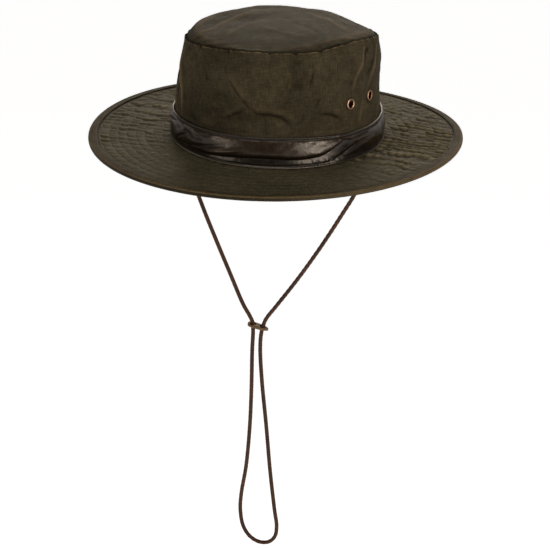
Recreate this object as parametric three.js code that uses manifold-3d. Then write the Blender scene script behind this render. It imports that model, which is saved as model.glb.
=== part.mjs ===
// Waxed cotton hat: round crown with a leather band, wide quilted brim, vent eyelets and a chin cord.
// Millimetres, +Z up. The front faces -Y and the wearer's left is +X.
// The origin is the centre of the head opening, in the mean plane where the crown meets the brim.
// Every form round the oval is a function of an angle, counted from the front towards the wearer's left.

import * as THREE from 'three';
import * as BufferGeometryUtils from 'three/addons/utils/BufferGeometryUtils.js';
import Module from 'manifold-3d';

// Driving sizes
const SEGMENTS = 60;
const GAP = 0.3;
const HEAD_HALF_WIDTH = 86;
const HEAD_HALF_LENGTH = 96.4;
const CROWN_CLOTH = 2;
const TIP_CLOTH = 1.8;
const TIP_DOME = 8.6;
const TIP_DOME_POWER = 2.5;
const TIP_RIM_TOP = -0.35;
const TIP_RIM_FOOT = -2.05;
const BAND_HEIGHT = 24;
const BAND_CLEARANCE = 0.4;
const BAND_FOOT = 3;
const BRIM_REACH = 74.4;
const BRIM_CLOTH = 2.2;
const BRIM_EDGE_CLOTH = 1.6;
const BRIM_DROOP_SHARE = 0.4;
const STITCH_ROWS = 8;
const STITCH_SPACING = 7.4;
const STITCH_SINK = 0.5;
const QUILT_PUFF = 0.35;
const TAPE_WIDTH = 7.5;
const TAPE_CLOTH = 0.9;
const CORD_RADIUS = 1.75;
const CORD_SIDES = 8;
const CORD_STEPS = 77;
const SLIDER_THICKNESS = 2.6;
const SLIDER_TILT = 11.5;

// Levels round the oval: a mean height and its waves, by the number of crests
const CROWN_FOOT_LEVEL = {
  mean: 0,
  waves: [{ crests: 1, cosine: -2.9, sine: -4.27 }],
};
const TIP_SEAM_LEVEL = {
  mean: 89.3,
  waves: [
    { crests: 1, cosine: 2.4, sine: -0.3 },
    { crests: 2, cosine: 0, sine: 2.6 },
    { crests: 3, cosine: -1.2, sine: -1.9 },
  ],
};
const BRIM_EDGE_LEVEL = {
  mean: -1.3,
  waves: [
    { crests: 1, cosine: -4.2, sine: -4.4 },
    { crests: 2, cosine: -1.9, sine: 0.8 },
    { crests: 3, cosine: 0.6, sine: -0.2 },
  ],
};

// Crown wall: share of its height, how far it draws in, and how far it drifts to the wearer's left
const CROWN_SECTIONS = [
  { share: 0, inset: 0, drift: 0 },
  { share: 0.12, inset: 0, drift: 0 },
  { share: 0.3, inset: 1.2, drift: 0 },
  { share: 0.5, inset: 2.4, drift: 0.3 },
  { share: 0.65, inset: 3.2, drift: 1.2 },
  { share: 0.8, inset: 4.2, drift: 2.6 },
  { share: 0.9, inset: 6.2, drift: 3.2 },
  { share: 1, inset: 9.5, drift: 3.5 },
];
const WALL_SHARES = [0, 0.12, 0.26, 0.4, 0.54, 0.68, 0.81, 0.92];
const LINING_SHARES = [0.84, 0.6, 0.3, 0];

// Shoulder and seam allowance: how far out from the seam line, and how far above it
const SHOULDER = [
  { out: 1.25, up: -3.2 },
  { out: 0.8, up: -0.9 },
  { out: 0.15, up: TIP_RIM_TOP },
  { out: 0.15, up: -2.35 },
  { out: -3.2, up: -2.35 },
  { out: -3.2, up: -3.7 },
  { out: -1, up: -5.2 },
];

// Folds of the crown wall: place round the oval, height above the brim, half sizes, lean and depth
const CROWN_FOLDS = [
  { at: -50, rise: 56, across: 8, along: 40, lean: 5, depth: 1.6 },
  { at: -63, rise: 60, across: 9, along: 36, lean: 5, depth: -2 },
  { at: -72, rise: 88, across: 10, along: 9, lean: 0, depth: -1.2 },
  { at: -93, rise: 67, across: 12, along: 24, lean: -6, depth: -1 },
  { at: -8, rise: 62, across: 8, along: 18, lean: 32, depth: -0.9 },
  { at: 5, rise: 54, across: 30, along: 8, lean: 0, depth: 1.3 },
  { at: 6, rise: 37, across: 24, along: 6, lean: 0, depth: -1.6 },
  { at: 35, rise: 76, across: 7, along: 15, lean: -18, depth: -1.1 },
  { at: 50, rise: 36, across: 12, along: 5, lean: 0, depth: -1.3 },
  { at: 70, rise: 82, across: 6, along: 18, lean: -14, depth: 1.1 },
  { at: 76, rise: 80, across: 6, along: 18, lean: -10, depth: -1.3 },
  { at: 83, rise: 78, across: 6, along: 22, lean: -8, depth: 1.1 },
  { at: 124, rise: 62, across: 10, along: 26, lean: 6, depth: -1.4 },
  { at: 138, rise: 48, across: 26, along: 9, lean: 8, depth: -1.4 },
  { at: 171, rise: 64, across: 9, along: 26, lean: -12, depth: 1.2 },
  { at: -150, rise: 52, across: 22, along: 9, lean: -10, depth: -1.4 },
  { at: -124, rise: 66, across: 8, along: 24, lean: 10, depth: 1.2 },
];
const FOLDS_START = 26;
const FOLDS_FULL = 34;
const FOLDS_FADE = 0.9;

// Folds of the top panel, in plan: middle, direction from +X, half sizes and depth
const TIP_FOLDS = [
  { x: -42, y: 18, turn: 62, across: 11, along: 52, depth: 1.2 },
  { x: -22, y: -4, turn: 62, across: 12, along: 46, depth: -0.9 },
  { x: 48, y: 22, turn: 104, across: 12, along: 34, depth: 0.8 },
];
const TIP_FOLDS_FADE = 0.8;
const TIP_RINGS = [0.985, 0.93, 0.8, 0.62, 0.42, 0.2];
const TIP_LINING_RINGS = [0.35, 0.75];

// Leather band: height above the brim, and how far it stands off the wall where flat and where full
const BAND_SECTIONS = [
  { rise: 0, flat: BAND_FOOT, full: BAND_FOOT },
  { rise: 4, flat: 2.5, full: 2.2 },
  { rise: 7, flat: 2.4, full: 3 },
  { rise: 11, flat: 2.3, full: 3.4 },
  { rise: 16.5, flat: 2.2, full: 3.2 },
  { rise: 21, flat: 2.1, full: 2.4 },
  { rise: BAND_HEIGHT, flat: 2, full: 2 },
];
// How full the band swells, and how high its top edge lies, round the oval
const BAND_COURSE = [
  { at: -180, share: 0.5, top: 23.5 },
  { at: -110, share: 0.7, top: 22 },
  { at: -72, share: 0.2, top: 20.5 },
  { at: -30, share: 0.8, top: 22 },
  { at: 0, share: 1, top: 23.8 },
  { at: 40, share: 1, top: 24.4 },
  { at: 60, share: 0.1, top: 22 },
  { at: 84, share: 0.3, top: 21.8 },
  { at: 120, share: 0.8, top: 23 },
  { at: 180, share: 0.5, top: 23.5 },
];

// Brim tape in section: how far in from its outer edge, and how far above the middle of the brim
const TAPE_SECTION = [
  { inward: TAPE_WIDTH, up: 2 },
  { inward: 3.5, up: 2.1 },
  { inward: 0.7, up: 1.6 },
  { inward: 0, up: 0 },
  { inward: 0.7, up: -1.6 },
  { inward: 3.5, up: -2.1 },
  { inward: TAPE_WIDTH, up: -2 },
  { inward: TAPE_WIDTH, up: -1.1 },
  { inward: TAPE_CLOTH, up: -1.1 },
  { inward: TAPE_CLOTH, up: 1.1 },
  { inward: TAPE_WIDTH, up: 1.1 },
];

// Vent eyelets: name, place round the oval and height above the brim
const EYELETS = [
  { name: 'eyelet_left_front', at: 63, rise: 46.5 },
  { name: 'eyelet_left_back', at: 81, rise: 47 },
  { name: 'eyelet_right_front', at: -84, rise: 47 },
  { name: 'eyelet_right_back', at: -102, rise: 47 },
];
const EYELET_HOLE_RADIUS = 3.5;
const EYELET_SIDES = 12;
const EYELET_REACH = 3;
// Eyelet in section: distance from its axis, and height above the outside of the cloth
const EYELET_SECTION = [
  { radius: 2.6, up: -CROWN_CLOTH - 1.2 },
  { radius: 4.6, up: -CROWN_CLOTH - 1.2 },
  { radius: 4.6, up: -CROWN_CLOTH - 0.7 },
  { radius: 3.1, up: -CROWN_CLOTH - 0.7 },
  { radius: 3.1, up: 0.45 },
  { radius: 5, up: 0.45 },
  { radius: 4.1, up: 1.25 },
  { radius: 2.9, up: 1.1 },
];

// Course of the chin cord, from the wearer's right tab, down, round the loop and up to the left tab
const CORD_COURSE = [
  { x: -82.05, y: 0, z: 14.5 },
  { x: -82.05, y: 0, z: 0 },
  { x: -81.9, y: 0, z: -16 },
  { x: -80.2, y: 0, z: -38 },
  { x: -76.6, y: 0, z: -58.6 },
  { x: -69.9, y: 0, z: -77.5 },
  { x: -58, y: 0, z: -106.5 },
  { x: -45.6, y: 0, z: -135.6 },
  { x: -32.6, y: 0, z: -165.6 },
  { x: -27, y: 0, z: -175 },
  { x: -24, y: 0, z: -181.4 },
  { x: -23.5, y: 0, z: -189 },
  { x: -24.3, y: -0.5, z: -210 },
  { x: -25, y: -1, z: -246 },
  { x: -26.6, y: -1.5, z: -284 },
  { x: -30.6, y: -1, z: -326 },
  { x: -36, y: 0, z: -357 },
  { x: -37.2, y: 0.5, z: -374 },
  { x: -34.6, y: 0.8, z: -391 },
  { x: -28.2, y: 1, z: -401 },
  { x: -18.8, y: 1, z: -405.6 },
  { x: -9.2, y: 1, z: -404 },
  { x: -3, y: 0.8, z: -397 },
  { x: -1.2, y: 0.5, z: -386 },
  { x: -3.2, y: 0, z: -368 },
  { x: -7.6, y: 0.8, z: -330 },
  { x: -11.6, y: 1.5, z: -284 },
  { x: -15.6, y: 1, z: -238 },
  { x: -16.9, y: 0.5, z: -208 },
  { x: -16, y: 0, z: -193.5 },
  { x: -14.4, y: 0, z: -185.7 },
  { x: -11.2, y: 0, z: -177 },
  { x: -1.6, y: 0, z: -163.4 },
  { x: 17.9, y: 0, z: -135.9 },
  { x: 39, y: 0, z: -103.4 },
  { x: 57.8, y: 0, z: -71.8 },
  { x: 71.6, y: 0, z: -46.8 },
  { x: 79.8, y: 0, z: -24 },
  { x: 82.05, y: 0, z: -6 },
  { x: 82.05, y: 0, z: 6 },
];

// Cord slider: where the two strands cross it, and its outline
const SLIDER_STRANDS = { rightX: -23.6, leftX: -14.4, z: -184.9 };
const SLIDER_HALF_WIDTH = 4.3;
const SLIDER_ROUND_END = -9.6;
const SLIDER_POINTED_END = 10.2;
const SLIDER_CHEEK = 0.75;
const SLIDER_HOLE_RADIUS = CORD_RADIUS + 0.85;

// Cord tabs: plain leather blocks on the inside of the crown, one a side, just off its curved wall
const CORD_TABS = [
  { name: 'cord_tab_left', side: 1, bottom: -3.4 },
  { name: 'cord_tab_right', side: -1, bottom: 5.2 },
];
const TAB_DEPTH = 5.5;
const TAB_WIDTH = 12;
const TAB_HEIGHT = 14;
const TAB_CORNER = 1.2;
const TAB_SEAT = 1.2;
const TAB_HOLE_RADIUS = CORD_RADIUS + 0.4;

// Sizes that follow from the driving sizes
const WALL_HALF_WIDTH = HEAD_HALF_WIDTH + CROWN_CLOTH;
const WALL_HALF_LENGTH = HEAD_HALF_LENGTH + CROWN_CLOTH;
const BAND_EDGE = CROWN_CLOTH + BAND_FOOT;
const BRIM_EDGE = BRIM_REACH - TAPE_CLOTH - GAP;
const TAPE_INNER_EDGE = BRIM_REACH - TAPE_WIDTH;

const radians = THREE.MathUtils.degToRad;

// A value read from a table, on smooth curves between its rows
function tableValue(table, key, column, place) {
  const last = table.length - 1;
  const x = THREE.MathUtils.clamp(place, table[0][key], table[last][key]);
  let i = 0;
  while (i < last - 1 && x > table[i + 1][key]) i += 1;
  const slope = (a, b) => (table[b][column] - table[a][column]) / (table[b][key] - table[a][key]);
  const span = table[i + 1][key] - table[i][key];
  const u = (x - table[i][key]) / span;
  const startSlope = slope(Math.max(i - 1, 0), i + 1);
  const endSlope = slope(i, Math.min(i + 2, last));
  const start = table[i][column];
  const end = table[i + 1][column];
  const blend = u * u * (3 - 2 * u);
  const bend = startSlope * span * u * (1 - u) ** 2 - endSlope * span * u * u * (1 - u);
  return start + (end - start) * blend + bend;
}

// Height of a level at an angle round the oval
function levelAt(level, t) {
  let height = level.mean;
  for (const wave of level.waves) {
    height += wave.cosine * Math.cos(wave.crests * t) + wave.sine * Math.sin(wave.crests * t);
  }
  return height;
}

const footLevel = (t) => levelAt(CROWN_FOOT_LEVEL, t);
const seamLevel = (t) => levelAt(TIP_SEAM_LEVEL, t);

// A point on the oval that lies out from the crown wall's foot, drifted to the wearer's left
function ovalPoint(t, out, z, drift = 0) {
  const x = (WALL_HALF_WIDTH + out) * Math.sin(t) + drift;
  const y = -(WALL_HALF_LENGTH + out) * Math.cos(t);
  return new THREE.Vector3(x, y, z);
}

// How far one fold pushes the cloth out at a place that is u across it and w along it
function foldPush(fold, u, w) {
  return fold.depth * Math.exp(-((u / fold.across) ** 2) - (w / fold.along) ** 2);
}

// How far the folds push the crown wall out
function crownPush(t, rise) {
  const radius = (WALL_HALF_WIDTH + WALL_HALF_LENGTH) / 2;
  let push = 0;
  for (const fold of CROWN_FOLDS) {
    let turn = t - radians(fold.at);
    turn = Math.atan2(Math.sin(turn), Math.cos(turn));
    const lean = radians(fold.lean);
    const side = turn * radius;
    const up = rise - fold.rise;
    const u = side * Math.cos(lean) - up * Math.sin(lean);
    const w = side * Math.sin(lean) + up * Math.cos(lean);
    push += foldPush(fold, u, w);
  }
  const fullHeight = seamLevel(t) - footLevel(t);
  const start = THREE.MathUtils.smoothstep(rise, FOLDS_START, FOLDS_FULL);
  const end = 1 - THREE.MathUtils.smoothstep(rise / fullHeight, FOLDS_FADE, 1);
  return push * start * end;
}

// A point on the crown wall at a share of its height, stepped out from the cloth's outside
function wallPoint(t, share, out) {
  const foot = footLevel(t) + GAP;
  const z = THREE.MathUtils.lerp(foot, seamLevel(t), share);
  const inset = tableValue(CROWN_SECTIONS, 'share', 'inset', share);
  const drift = tableValue(CROWN_SECTIONS, 'share', 'drift', share);
  const push = crownPush(t, z - footLevel(t));
  return ovalPoint(t, out - inset + push, z, drift);
}

// A point on the crown wall at a height above the brim
function wallPointAtRise(t, rise, out) {
  const share = (rise - GAP) / (seamLevel(t) - footLevel(t) - GAP);
  return wallPoint(t, share, out);
}

// A point by the seam of the top panel
function seamPoint(t, out, up) {
  const seam = CROWN_SECTIONS[CROWN_SECTIONS.length - 1];
  return ovalPoint(t, out - seam.inset, seamLevel(t) + up, seam.drift);
}

// A ring of points round the oval
function ring(pointAt) {
  const points = [];
  for (let i = 0; i < SEGMENTS; i += 1) points.push(pointAt((i / SEGMENTS) * 2 * Math.PI));
  return points;
}

// A closed geometry from points and triangles, with its faces turned out
function closedGeometry(points, triangles) {
  const [a, b, c] = [new THREE.Vector3(), new THREE.Vector3(), new THREE.Vector3()];
  let volume = 0;
  for (const [i, j, k] of triangles) {
    a.copy(points[i]);
    b.copy(points[j]);
    c.copy(points[k]);
    volume += a.dot(b.cross(c));
  }
  const facing = volume > 0 ? triangles : triangles.map(([i, j, k]) => [i, k, j]);
  const geometry = new THREE.BufferGeometry();
  const positions = points.flatMap((point) => point.toArray());
  geometry.setAttribute('position', new THREE.Float32BufferAttribute(positions, 3));
  geometry.setIndex(facing.flat());
  geometry.computeVertexNormals();
  return geometry;
}

// Triangles between one ring and the next
function ringStrip(first, second) {
  const triangles = [];
  for (let i = 0; i < SEGMENTS; i += 1) {
    const j = (i + 1) % SEGMENTS;
    triangles.push([first + i, first + j, second + j], [first + i, second + j, second + i]);
  }
  return triangles;
}

// A closed shell whose section is a loop of rings
function loopShell(rings) {
  const triangles = rings.flatMap((unused, r) => {
    const next = (r + 1) % rings.length;
    return ringStrip(r * SEGMENTS, next * SEGMENTS);
  });
  return closedGeometry(rings.flat(), triangles);
}

// A closed disc whose section runs from a lower middle point, through rings, to an upper one
function discShell(lowerMiddle, rings, upperMiddle) {
  const lower = rings.length * SEGMENTS;
  const upper = lower + 1;
  const top = (rings.length - 1) * SEGMENTS;
  const triangles = [];
  for (let r = 0; r < rings.length - 1; r += 1) {
    triangles.push(...ringStrip(r * SEGMENTS, (r + 1) * SEGMENTS));
  }
  for (let i = 0; i < SEGMENTS; i += 1) {
    const j = (i + 1) % SEGMENTS;
    triangles.push([lower, j, i], [upper, top + i, top + j]);
  }
  return closedGeometry([...rings.flat(), lowerMiddle, upperMiddle], triangles);
}

// Crown wall: the outside, the shoulder, the seam allowance turned in, and the inside
function crownSideGeometry() {
  const rings = WALL_SHARES.map((share) => ring((t) => wallPoint(t, share, 0)));
  for (const row of SHOULDER) rings.push(ring((t) => seamPoint(t, row.out, row.up)));
  for (const share of LINING_SHARES) rings.push(ring((t) => wallPoint(t, share, -CROWN_CLOTH)));
  return loopShell(rings);
}

// Height of the outside of the top panel at a share of the way from its middle to the seam
function tipHeight(t, share, x, y) {
  const rim = seamLevel(t);
  const dome = TIP_DOME * (1 - share ** TIP_DOME_POWER);
  let push = 0;
  for (const fold of TIP_FOLDS) {
    const turn = radians(fold.turn);
    const w = (x - fold.x) * Math.cos(turn) + (y - fold.y) * Math.sin(turn);
    const u = -(x - fold.x) * Math.sin(turn) + (y - fold.y) * Math.cos(turn);
    push += foldPush(fold, u, w);
  }
  const fade = 1 - THREE.MathUtils.smoothstep(share, TIP_FOLDS_FADE, 1);
  return rim + (1 - share) * (TIP_SEAM_LEVEL.mean - rim) + dome + push * fade;
}

// Crown tip: the domed oval panel that meets the wall at the seam
function crownTipGeometry() {
  const seam = CROWN_SECTIONS[CROWN_SECTIONS.length - 1];
  const halfWidth = WALL_HALF_WIDTH - seam.inset - GAP / 2;
  const halfLength = WALL_HALF_LENGTH - seam.inset - GAP / 2;
  const tipPoint = (t, share, down) => {
    const x = halfWidth * share * Math.sin(t) + seam.drift;
    const y = -halfLength * share * Math.cos(t);
    return new THREE.Vector3(x, y, tipHeight(t, share, x, y) - down);
  };
  const rimPoint = (t, up) => seamPoint(t, -GAP / 2, up);
  const rings = TIP_LINING_RINGS.map((share) => ring((t) => tipPoint(t, share, TIP_CLOTH)));
  rings.push(ring((t) => rimPoint(t, TIP_RIM_FOOT)));
  rings.push(ring((t) => rimPoint(t, TIP_RIM_TOP)));
  for (const share of TIP_RINGS) rings.push(ring((t) => tipPoint(t, share, 0)));
  return discShell(tipPoint(0, 0, TIP_CLOTH), rings, tipPoint(0, 0, 0));
}

// Hat band: leather that swells between its two stitched edges
function hatBandGeometry() {
  const bandPoint = (t, rise, outAt) => {
    const place = THREE.MathUtils.radToDeg(Math.atan2(Math.sin(t), Math.cos(t)));
    const share = tableValue(BAND_COURSE, 'at', 'share', place);
    const top = tableValue(BAND_COURSE, 'at', 'top', place);
    const height = GAP + (rise / BAND_HEIGHT) * (top - GAP);
    return wallPointAtRise(t, height, outAt(share));
  };
  const rings = BAND_SECTIONS.map(({ rise, flat, full }) => {
    return ring((t) => bandPoint(t, rise, (share) => THREE.MathUtils.lerp(flat, full, share)));
  });
  for (const rise of [BAND_HEIGHT, BAND_HEIGHT / 2, 0]) {
    rings.push(ring((t) => bandPoint(t, rise, () => BAND_CLEARANCE)));
  }
  return loopShell(rings);
}

// Height of the middle of the brim's cloth, at a reach out from the head opening
function brimLevel(t, reach) {
  const share = Math.max(0, (reach - BAND_EDGE) / (BRIM_REACH - BAND_EDGE));
  const fall = (1 - BRIM_DROOP_SHARE) * share + BRIM_DROOP_SHARE * share * share;
  return THREE.MathUtils.lerp(footLevel(t) - BRIM_CLOTH / 2, levelAt(BRIM_EDGE_LEVEL, t), fall);
}

// A point of the brim, at a reach out from the head opening and a height above the cloth's middle
function brimPoint(t, reach, up) {
  return ovalPoint(t, reach - CROWN_CLOTH, brimLevel(t, reach) + up);
}

// Brim: quilted cloth, sunk at each row of stitches and puffed up between the rows
function brimGeometry() {
  const half = BRIM_CLOTH / 2;
  const edgeHalf = BRIM_EDGE_CLOTH / 2;
  const firstRow = BAND_EDGE + STITCH_SPACING;
  const section = [
    { reach: 0, up: half },
    { reach: BAND_EDGE, up: half },
  ];
  for (let row = 0; row < STITCH_ROWS; row += 1) {
    const reach = firstRow + row * STITCH_SPACING;
    section.push({ reach: reach - STITCH_SPACING / 2, up: half + QUILT_PUFF });
    section.push({ reach, up: half - STITCH_SINK });
  }
  section.push({ reach: TAPE_INNER_EDGE - 1.2, up: half });
  section.push({ reach: TAPE_INNER_EDGE - 0.2, up: edgeHalf });
  section.push({ reach: BRIM_EDGE, up: edgeHalf });
  section.push({ reach: BRIM_EDGE, up: -edgeHalf });
  section.push({ reach: TAPE_INNER_EDGE - 0.2, up: -edgeHalf });
  section.push({ reach: TAPE_INNER_EDGE - 1.2, up: -half });
  section.push({ reach: BRIM_REACH / 2, up: -half });
  section.push({ reach: 0, up: -half });
  return loopShell(section.map((row) => ring((t) => brimPoint(t, row.reach, row.up))));
}

// Brim binding: tape folded over the brim's edge
function brimBindingGeometry() {
  const ringOf = (row) => ring((t) => brimPoint(t, BRIM_REACH - row.inward, row.up));
  return loopShell(TAPE_SECTION.map(ringOf));
}

// The place and outward direction of the crown's cloth where an eyelet sits
function eyeletSeat(eyelet) {
  const t = radians(eyelet.at);
  const [low, high] = [eyelet.rise - EYELET_REACH, eyelet.rise + EYELET_REACH];
  const turnBy = EYELET_REACH / WALL_HALF_LENGTH;
  const middle = wallPointAtRise(t, eyelet.rise, 0);
  const round = wallPointAtRise(t + turnBy, eyelet.rise, 0);
  round.sub(wallPointAtRise(t - turnBy, eyelet.rise, 0));
  const up = wallPointAtRise(t, high, 0).sub(wallPointAtRise(t, low, 0));
  const outward = round.cross(up).normalize();
  const axis = new THREE.Vector3(0, 1, 0);
  const turn = new THREE.Quaternion().setFromUnitVectors(axis, outward);
  return new THREE.Matrix4().compose(middle, turn, new THREE.Vector3(1, 1, 1));
}

// Vent eyelet: a turned flange outside, a barrel through the cloth and a washer inside
function eyeletGeometry() {
  const profile = EYELET_SECTION.map((row) => new THREE.Vector2(row.radius, row.up));
  profile.push(profile[0].clone());
  return new THREE.LatheGeometry(profile, EYELET_SIDES);
}

const wasm = await Module();
wasm.setup();

// A solid for cutting, from a closed geometry
function solidFrom(geometry) {
  const bare = geometry.clone();
  bare.deleteAttribute('normal');
  bare.deleteAttribute('uv');
  const merged = BufferGeometryUtils.mergeVertices(bare, 1e-4);
  return new wasm.Manifold(new wasm.Mesh({
    numProp: 3,
    vertProperties: new Float32Array(merged.attributes.position.array),
    triVerts: new Uint32Array(merged.index.array),
  }));
}

// A geometry back from a cut solid
function geometryFrom(solid) {
  const mesh = solid.getMesh();
  const geometry = new THREE.BufferGeometry();
  geometry.setAttribute('position', new THREE.BufferAttribute(mesh.vertProperties, 3));
  geometry.setIndex(new THREE.BufferAttribute(mesh.triVerts, 1));
  geometry.computeVertexNormals();
  return geometry;
}

// The crown wall with a round hole cut for each eyelet
function piercedCrownSide() {
  const drillLength = 6 * CROWN_CLOTH;
  let solid = solidFrom(crownSideGeometry());
  for (const eyelet of EYELETS) {
    const drill = new THREE.CylinderGeometry(
      EYELET_HOLE_RADIUS, EYELET_HOLE_RADIUS, drillLength, EYELET_SIDES,
    );
    drill.applyMatrix4(eyeletSeat(eyelet));
    solid = solid.subtract(solidFrom(drill));
  }
  return geometryFrom(solid);
}

// Chin cord: a round cord along its whole course
function chinCordGeometry() {
  const section = new THREE.Shape();
  for (let i = 0; i < CORD_SIDES; i += 1) {
    const angle = (i / CORD_SIDES) * 2 * Math.PI;
    const [x, y] = [CORD_RADIUS * Math.cos(angle), CORD_RADIUS * Math.sin(angle)];
    if (i === 0) section.moveTo(x, y);
    else section.lineTo(x, y);
  }
  section.closePath();
  const points = CORD_COURSE.map((point) => new THREE.Vector3(point.x, point.y, point.z));
  const course = new THREE.CatmullRomCurve3(points, false, 'centripetal');
  return new THREE.ExtrudeGeometry(section, { extrudePath: course, steps: CORD_STEPS });
}

// Cord slider: a flat plate, round at one end and pointed at the other, with two holes
function cordSliderGeometry() {
  const reach = (SLIDER_STRANDS.leftX - SLIDER_STRANDS.rightX) / Math.cos(radians(SLIDER_TILT)) / 2;
  const roundMiddle = SLIDER_ROUND_END + SLIDER_HALF_WIDTH;
  const cheek = SLIDER_CHEEK * SLIDER_POINTED_END;
  const shape = new THREE.Shape();
  shape.absarc(roundMiddle, 0, SLIDER_HALF_WIDTH, Math.PI / 2, 1.5 * Math.PI, false);
  shape.bezierCurveTo(0, -SLIDER_HALF_WIDTH, cheek, -SLIDER_HALF_WIDTH, SLIDER_POINTED_END, 0);
  shape.bezierCurveTo(
    cheek, SLIDER_HALF_WIDTH, 0, SLIDER_HALF_WIDTH, roundMiddle, SLIDER_HALF_WIDTH,
  );
  for (const x of [-reach, reach]) {
    const hole = new THREE.Path();
    hole.absarc(x, 0, SLIDER_HOLE_RADIUS, 0, 2 * Math.PI, true);
    shape.holes.push(hole);
  }
  const plate = { depth: SLIDER_THICKNESS, bevelEnabled: false, curveSegments: 5, steps: 1 };
  const geometry = new THREE.ExtrudeGeometry(shape, plate);
  return geometry.translate(0, 0, -SLIDER_THICKNESS / 2);
}

// Cord tab: an upright block with bevelled corners and a hole up its middle for the cord's end
function cordTabGeometry() {
  const [x, y] = [TAB_DEPTH / 2, TAB_WIDTH / 2];
  const corners = [[1, 1], [-1, 1], [-1, -1], [1, -1]];
  const outline = corners.flatMap(([sideX, sideY]) => {
    const longFirst = new THREE.Vector2(sideX * x, sideY * (y - TAB_CORNER));
    const shortFirst = new THREE.Vector2(sideX * (x - TAB_CORNER), sideY * y);
    return sideX === sideY ? [longFirst, shortFirst] : [shortFirst, longFirst];
  });
  const shape = new THREE.Shape(outline);
  const hole = new THREE.Path();
  hole.absarc(0, 0, TAB_HOLE_RADIUS, 0, 2 * Math.PI, true);
  shape.holes.push(hole);
  const block = { depth: TAB_HEIGHT, bevelEnabled: false, curveSegments: 6, steps: 1 };
  return new THREE.ExtrudeGeometry(shape, block);
}

// Materials
const finish = (color, roughness, metalness) => {
  return new THREE.MeshStandardMaterial({ color, roughness, metalness });
};
const WAXED_COTTON = finish('#423a2c', 0.72, 0);
const TAPE_COTTON = finish('#453b2b', 0.7, 0);
const DARK_LEATHER = finish('#241d16', 0.38, 0);
const AGED_BRASS = finish('#b07a4a', 0.35, 1);
const BROWN_CORD = finish('#46281a', 0.8, 0);
const HORN = finish('#7a6038', 0.5, 0);

const hat = new THREE.Group();

function addPiece(name, geometry, material) {
  const piece = new THREE.Mesh(geometry, material.clone());
  piece.name = name;
  hat.add(piece);
  return piece;
}

addPiece('crown_side', piercedCrownSide(), WAXED_COTTON);
addPiece('crown_tip', crownTipGeometry(), WAXED_COTTON);
addPiece('hat_band', hatBandGeometry(), DARK_LEATHER);
addPiece('brim', brimGeometry(), WAXED_COTTON);
addPiece('brim_binding', brimBindingGeometry(), TAPE_COTTON);
for (const eyelet of EYELETS) {
  const piece = addPiece(eyelet.name, eyeletGeometry(), AGED_BRASS);
  piece.applyMatrix4(eyeletSeat(eyelet));
}
addPiece('chin_cord', chinCordGeometry(), BROWN_CORD);

const slider = addPiece('cord_slider', cordSliderGeometry(), HORN);
slider.position.set((SLIDER_STRANDS.rightX + SLIDER_STRANDS.leftX) / 2, 0, SLIDER_STRANDS.z);
slider.rotation.y = radians(SLIDER_TILT);

for (const tab of CORD_TABS) {
  const piece = addPiece(tab.name, cordTabGeometry(), DARK_LEATHER);
  const middle = HEAD_HALF_WIDTH - TAB_SEAT - TAB_DEPTH / 2;
  piece.position.set(tab.side * middle, 0, tab.bottom);
}

export default hat;
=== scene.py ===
import math

import bmesh
import bpy
import numpy as np
from mathutils import Matrix, Vector


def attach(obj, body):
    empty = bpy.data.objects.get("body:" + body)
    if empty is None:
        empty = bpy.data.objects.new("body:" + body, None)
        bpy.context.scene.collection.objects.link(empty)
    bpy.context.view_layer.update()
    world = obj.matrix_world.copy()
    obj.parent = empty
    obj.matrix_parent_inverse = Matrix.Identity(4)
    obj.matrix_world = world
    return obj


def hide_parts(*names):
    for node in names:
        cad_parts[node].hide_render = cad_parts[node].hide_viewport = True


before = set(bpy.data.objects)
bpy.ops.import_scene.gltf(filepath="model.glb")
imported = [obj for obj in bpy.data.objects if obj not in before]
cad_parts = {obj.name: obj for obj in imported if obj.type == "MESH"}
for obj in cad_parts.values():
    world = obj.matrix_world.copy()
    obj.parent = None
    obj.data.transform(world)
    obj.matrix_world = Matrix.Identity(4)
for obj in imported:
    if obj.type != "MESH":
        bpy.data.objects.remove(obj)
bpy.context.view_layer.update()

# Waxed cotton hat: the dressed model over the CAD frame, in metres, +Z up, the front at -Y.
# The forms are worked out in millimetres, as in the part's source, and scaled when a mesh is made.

scene = bpy.context.scene
MM = 0.001
TAU = 2 * math.pi

# Sizes in millimetres, as in the part's source
GAP = 0.3
CLOTH = 2
HALF_WIDTH, HALF_LENGTH = 88, 98.4
MEAN_RADIUS = (HALF_WIDTH + HALF_LENGTH) / 2
TIP_CLOTH, TIP_DOME, TIP_DOME_POWER = 1.8, 8.6, 2.5
BAND_HEIGHT, BAND_CLEARANCE, BAND_EDGE, BAND_LEAST = 24, 0.4, 5, 0.9
BRIM_REACH, BRIM_EDGE, BRIM_HALF, BRIM_EDGE_HALF = 74.4, 73.2, 1.1, 0.8
STITCH_ROWS, STITCH_SPACING, STITCH_SINK, QUILT_PUFF, NARROW_PUFF = 8, 7.4, 0.35, 0.2, 0.1
TAPE_WIDTH, TAPE_CLOTH = 7.5, 0.9
CORD_RADIUS = 1.75
EYELET_HOLE_RADIUS = 3.5
# How far the edge of the brim lies off centre, and how much of its fall is straight and not curved
BRIM_DRIFT, BRIM_STRAIGHT = -1.4, 0.6

# Levels round the oval: mean, then crests, cosine and sine of each wave
FOOT_LEVEL = (0, [(1, -2.9, -4.27)])
SEAM_LEVEL = (89.3, [(1, 2.4, -0.3), (2, 0, 2.6), (3, -1.2, -1.9)])
EDGE_LEVEL = (-2.1, [(1, -3.4, -4.4), (2, -1.9, 0.8), (3, 0.6, -0.2)])
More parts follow.
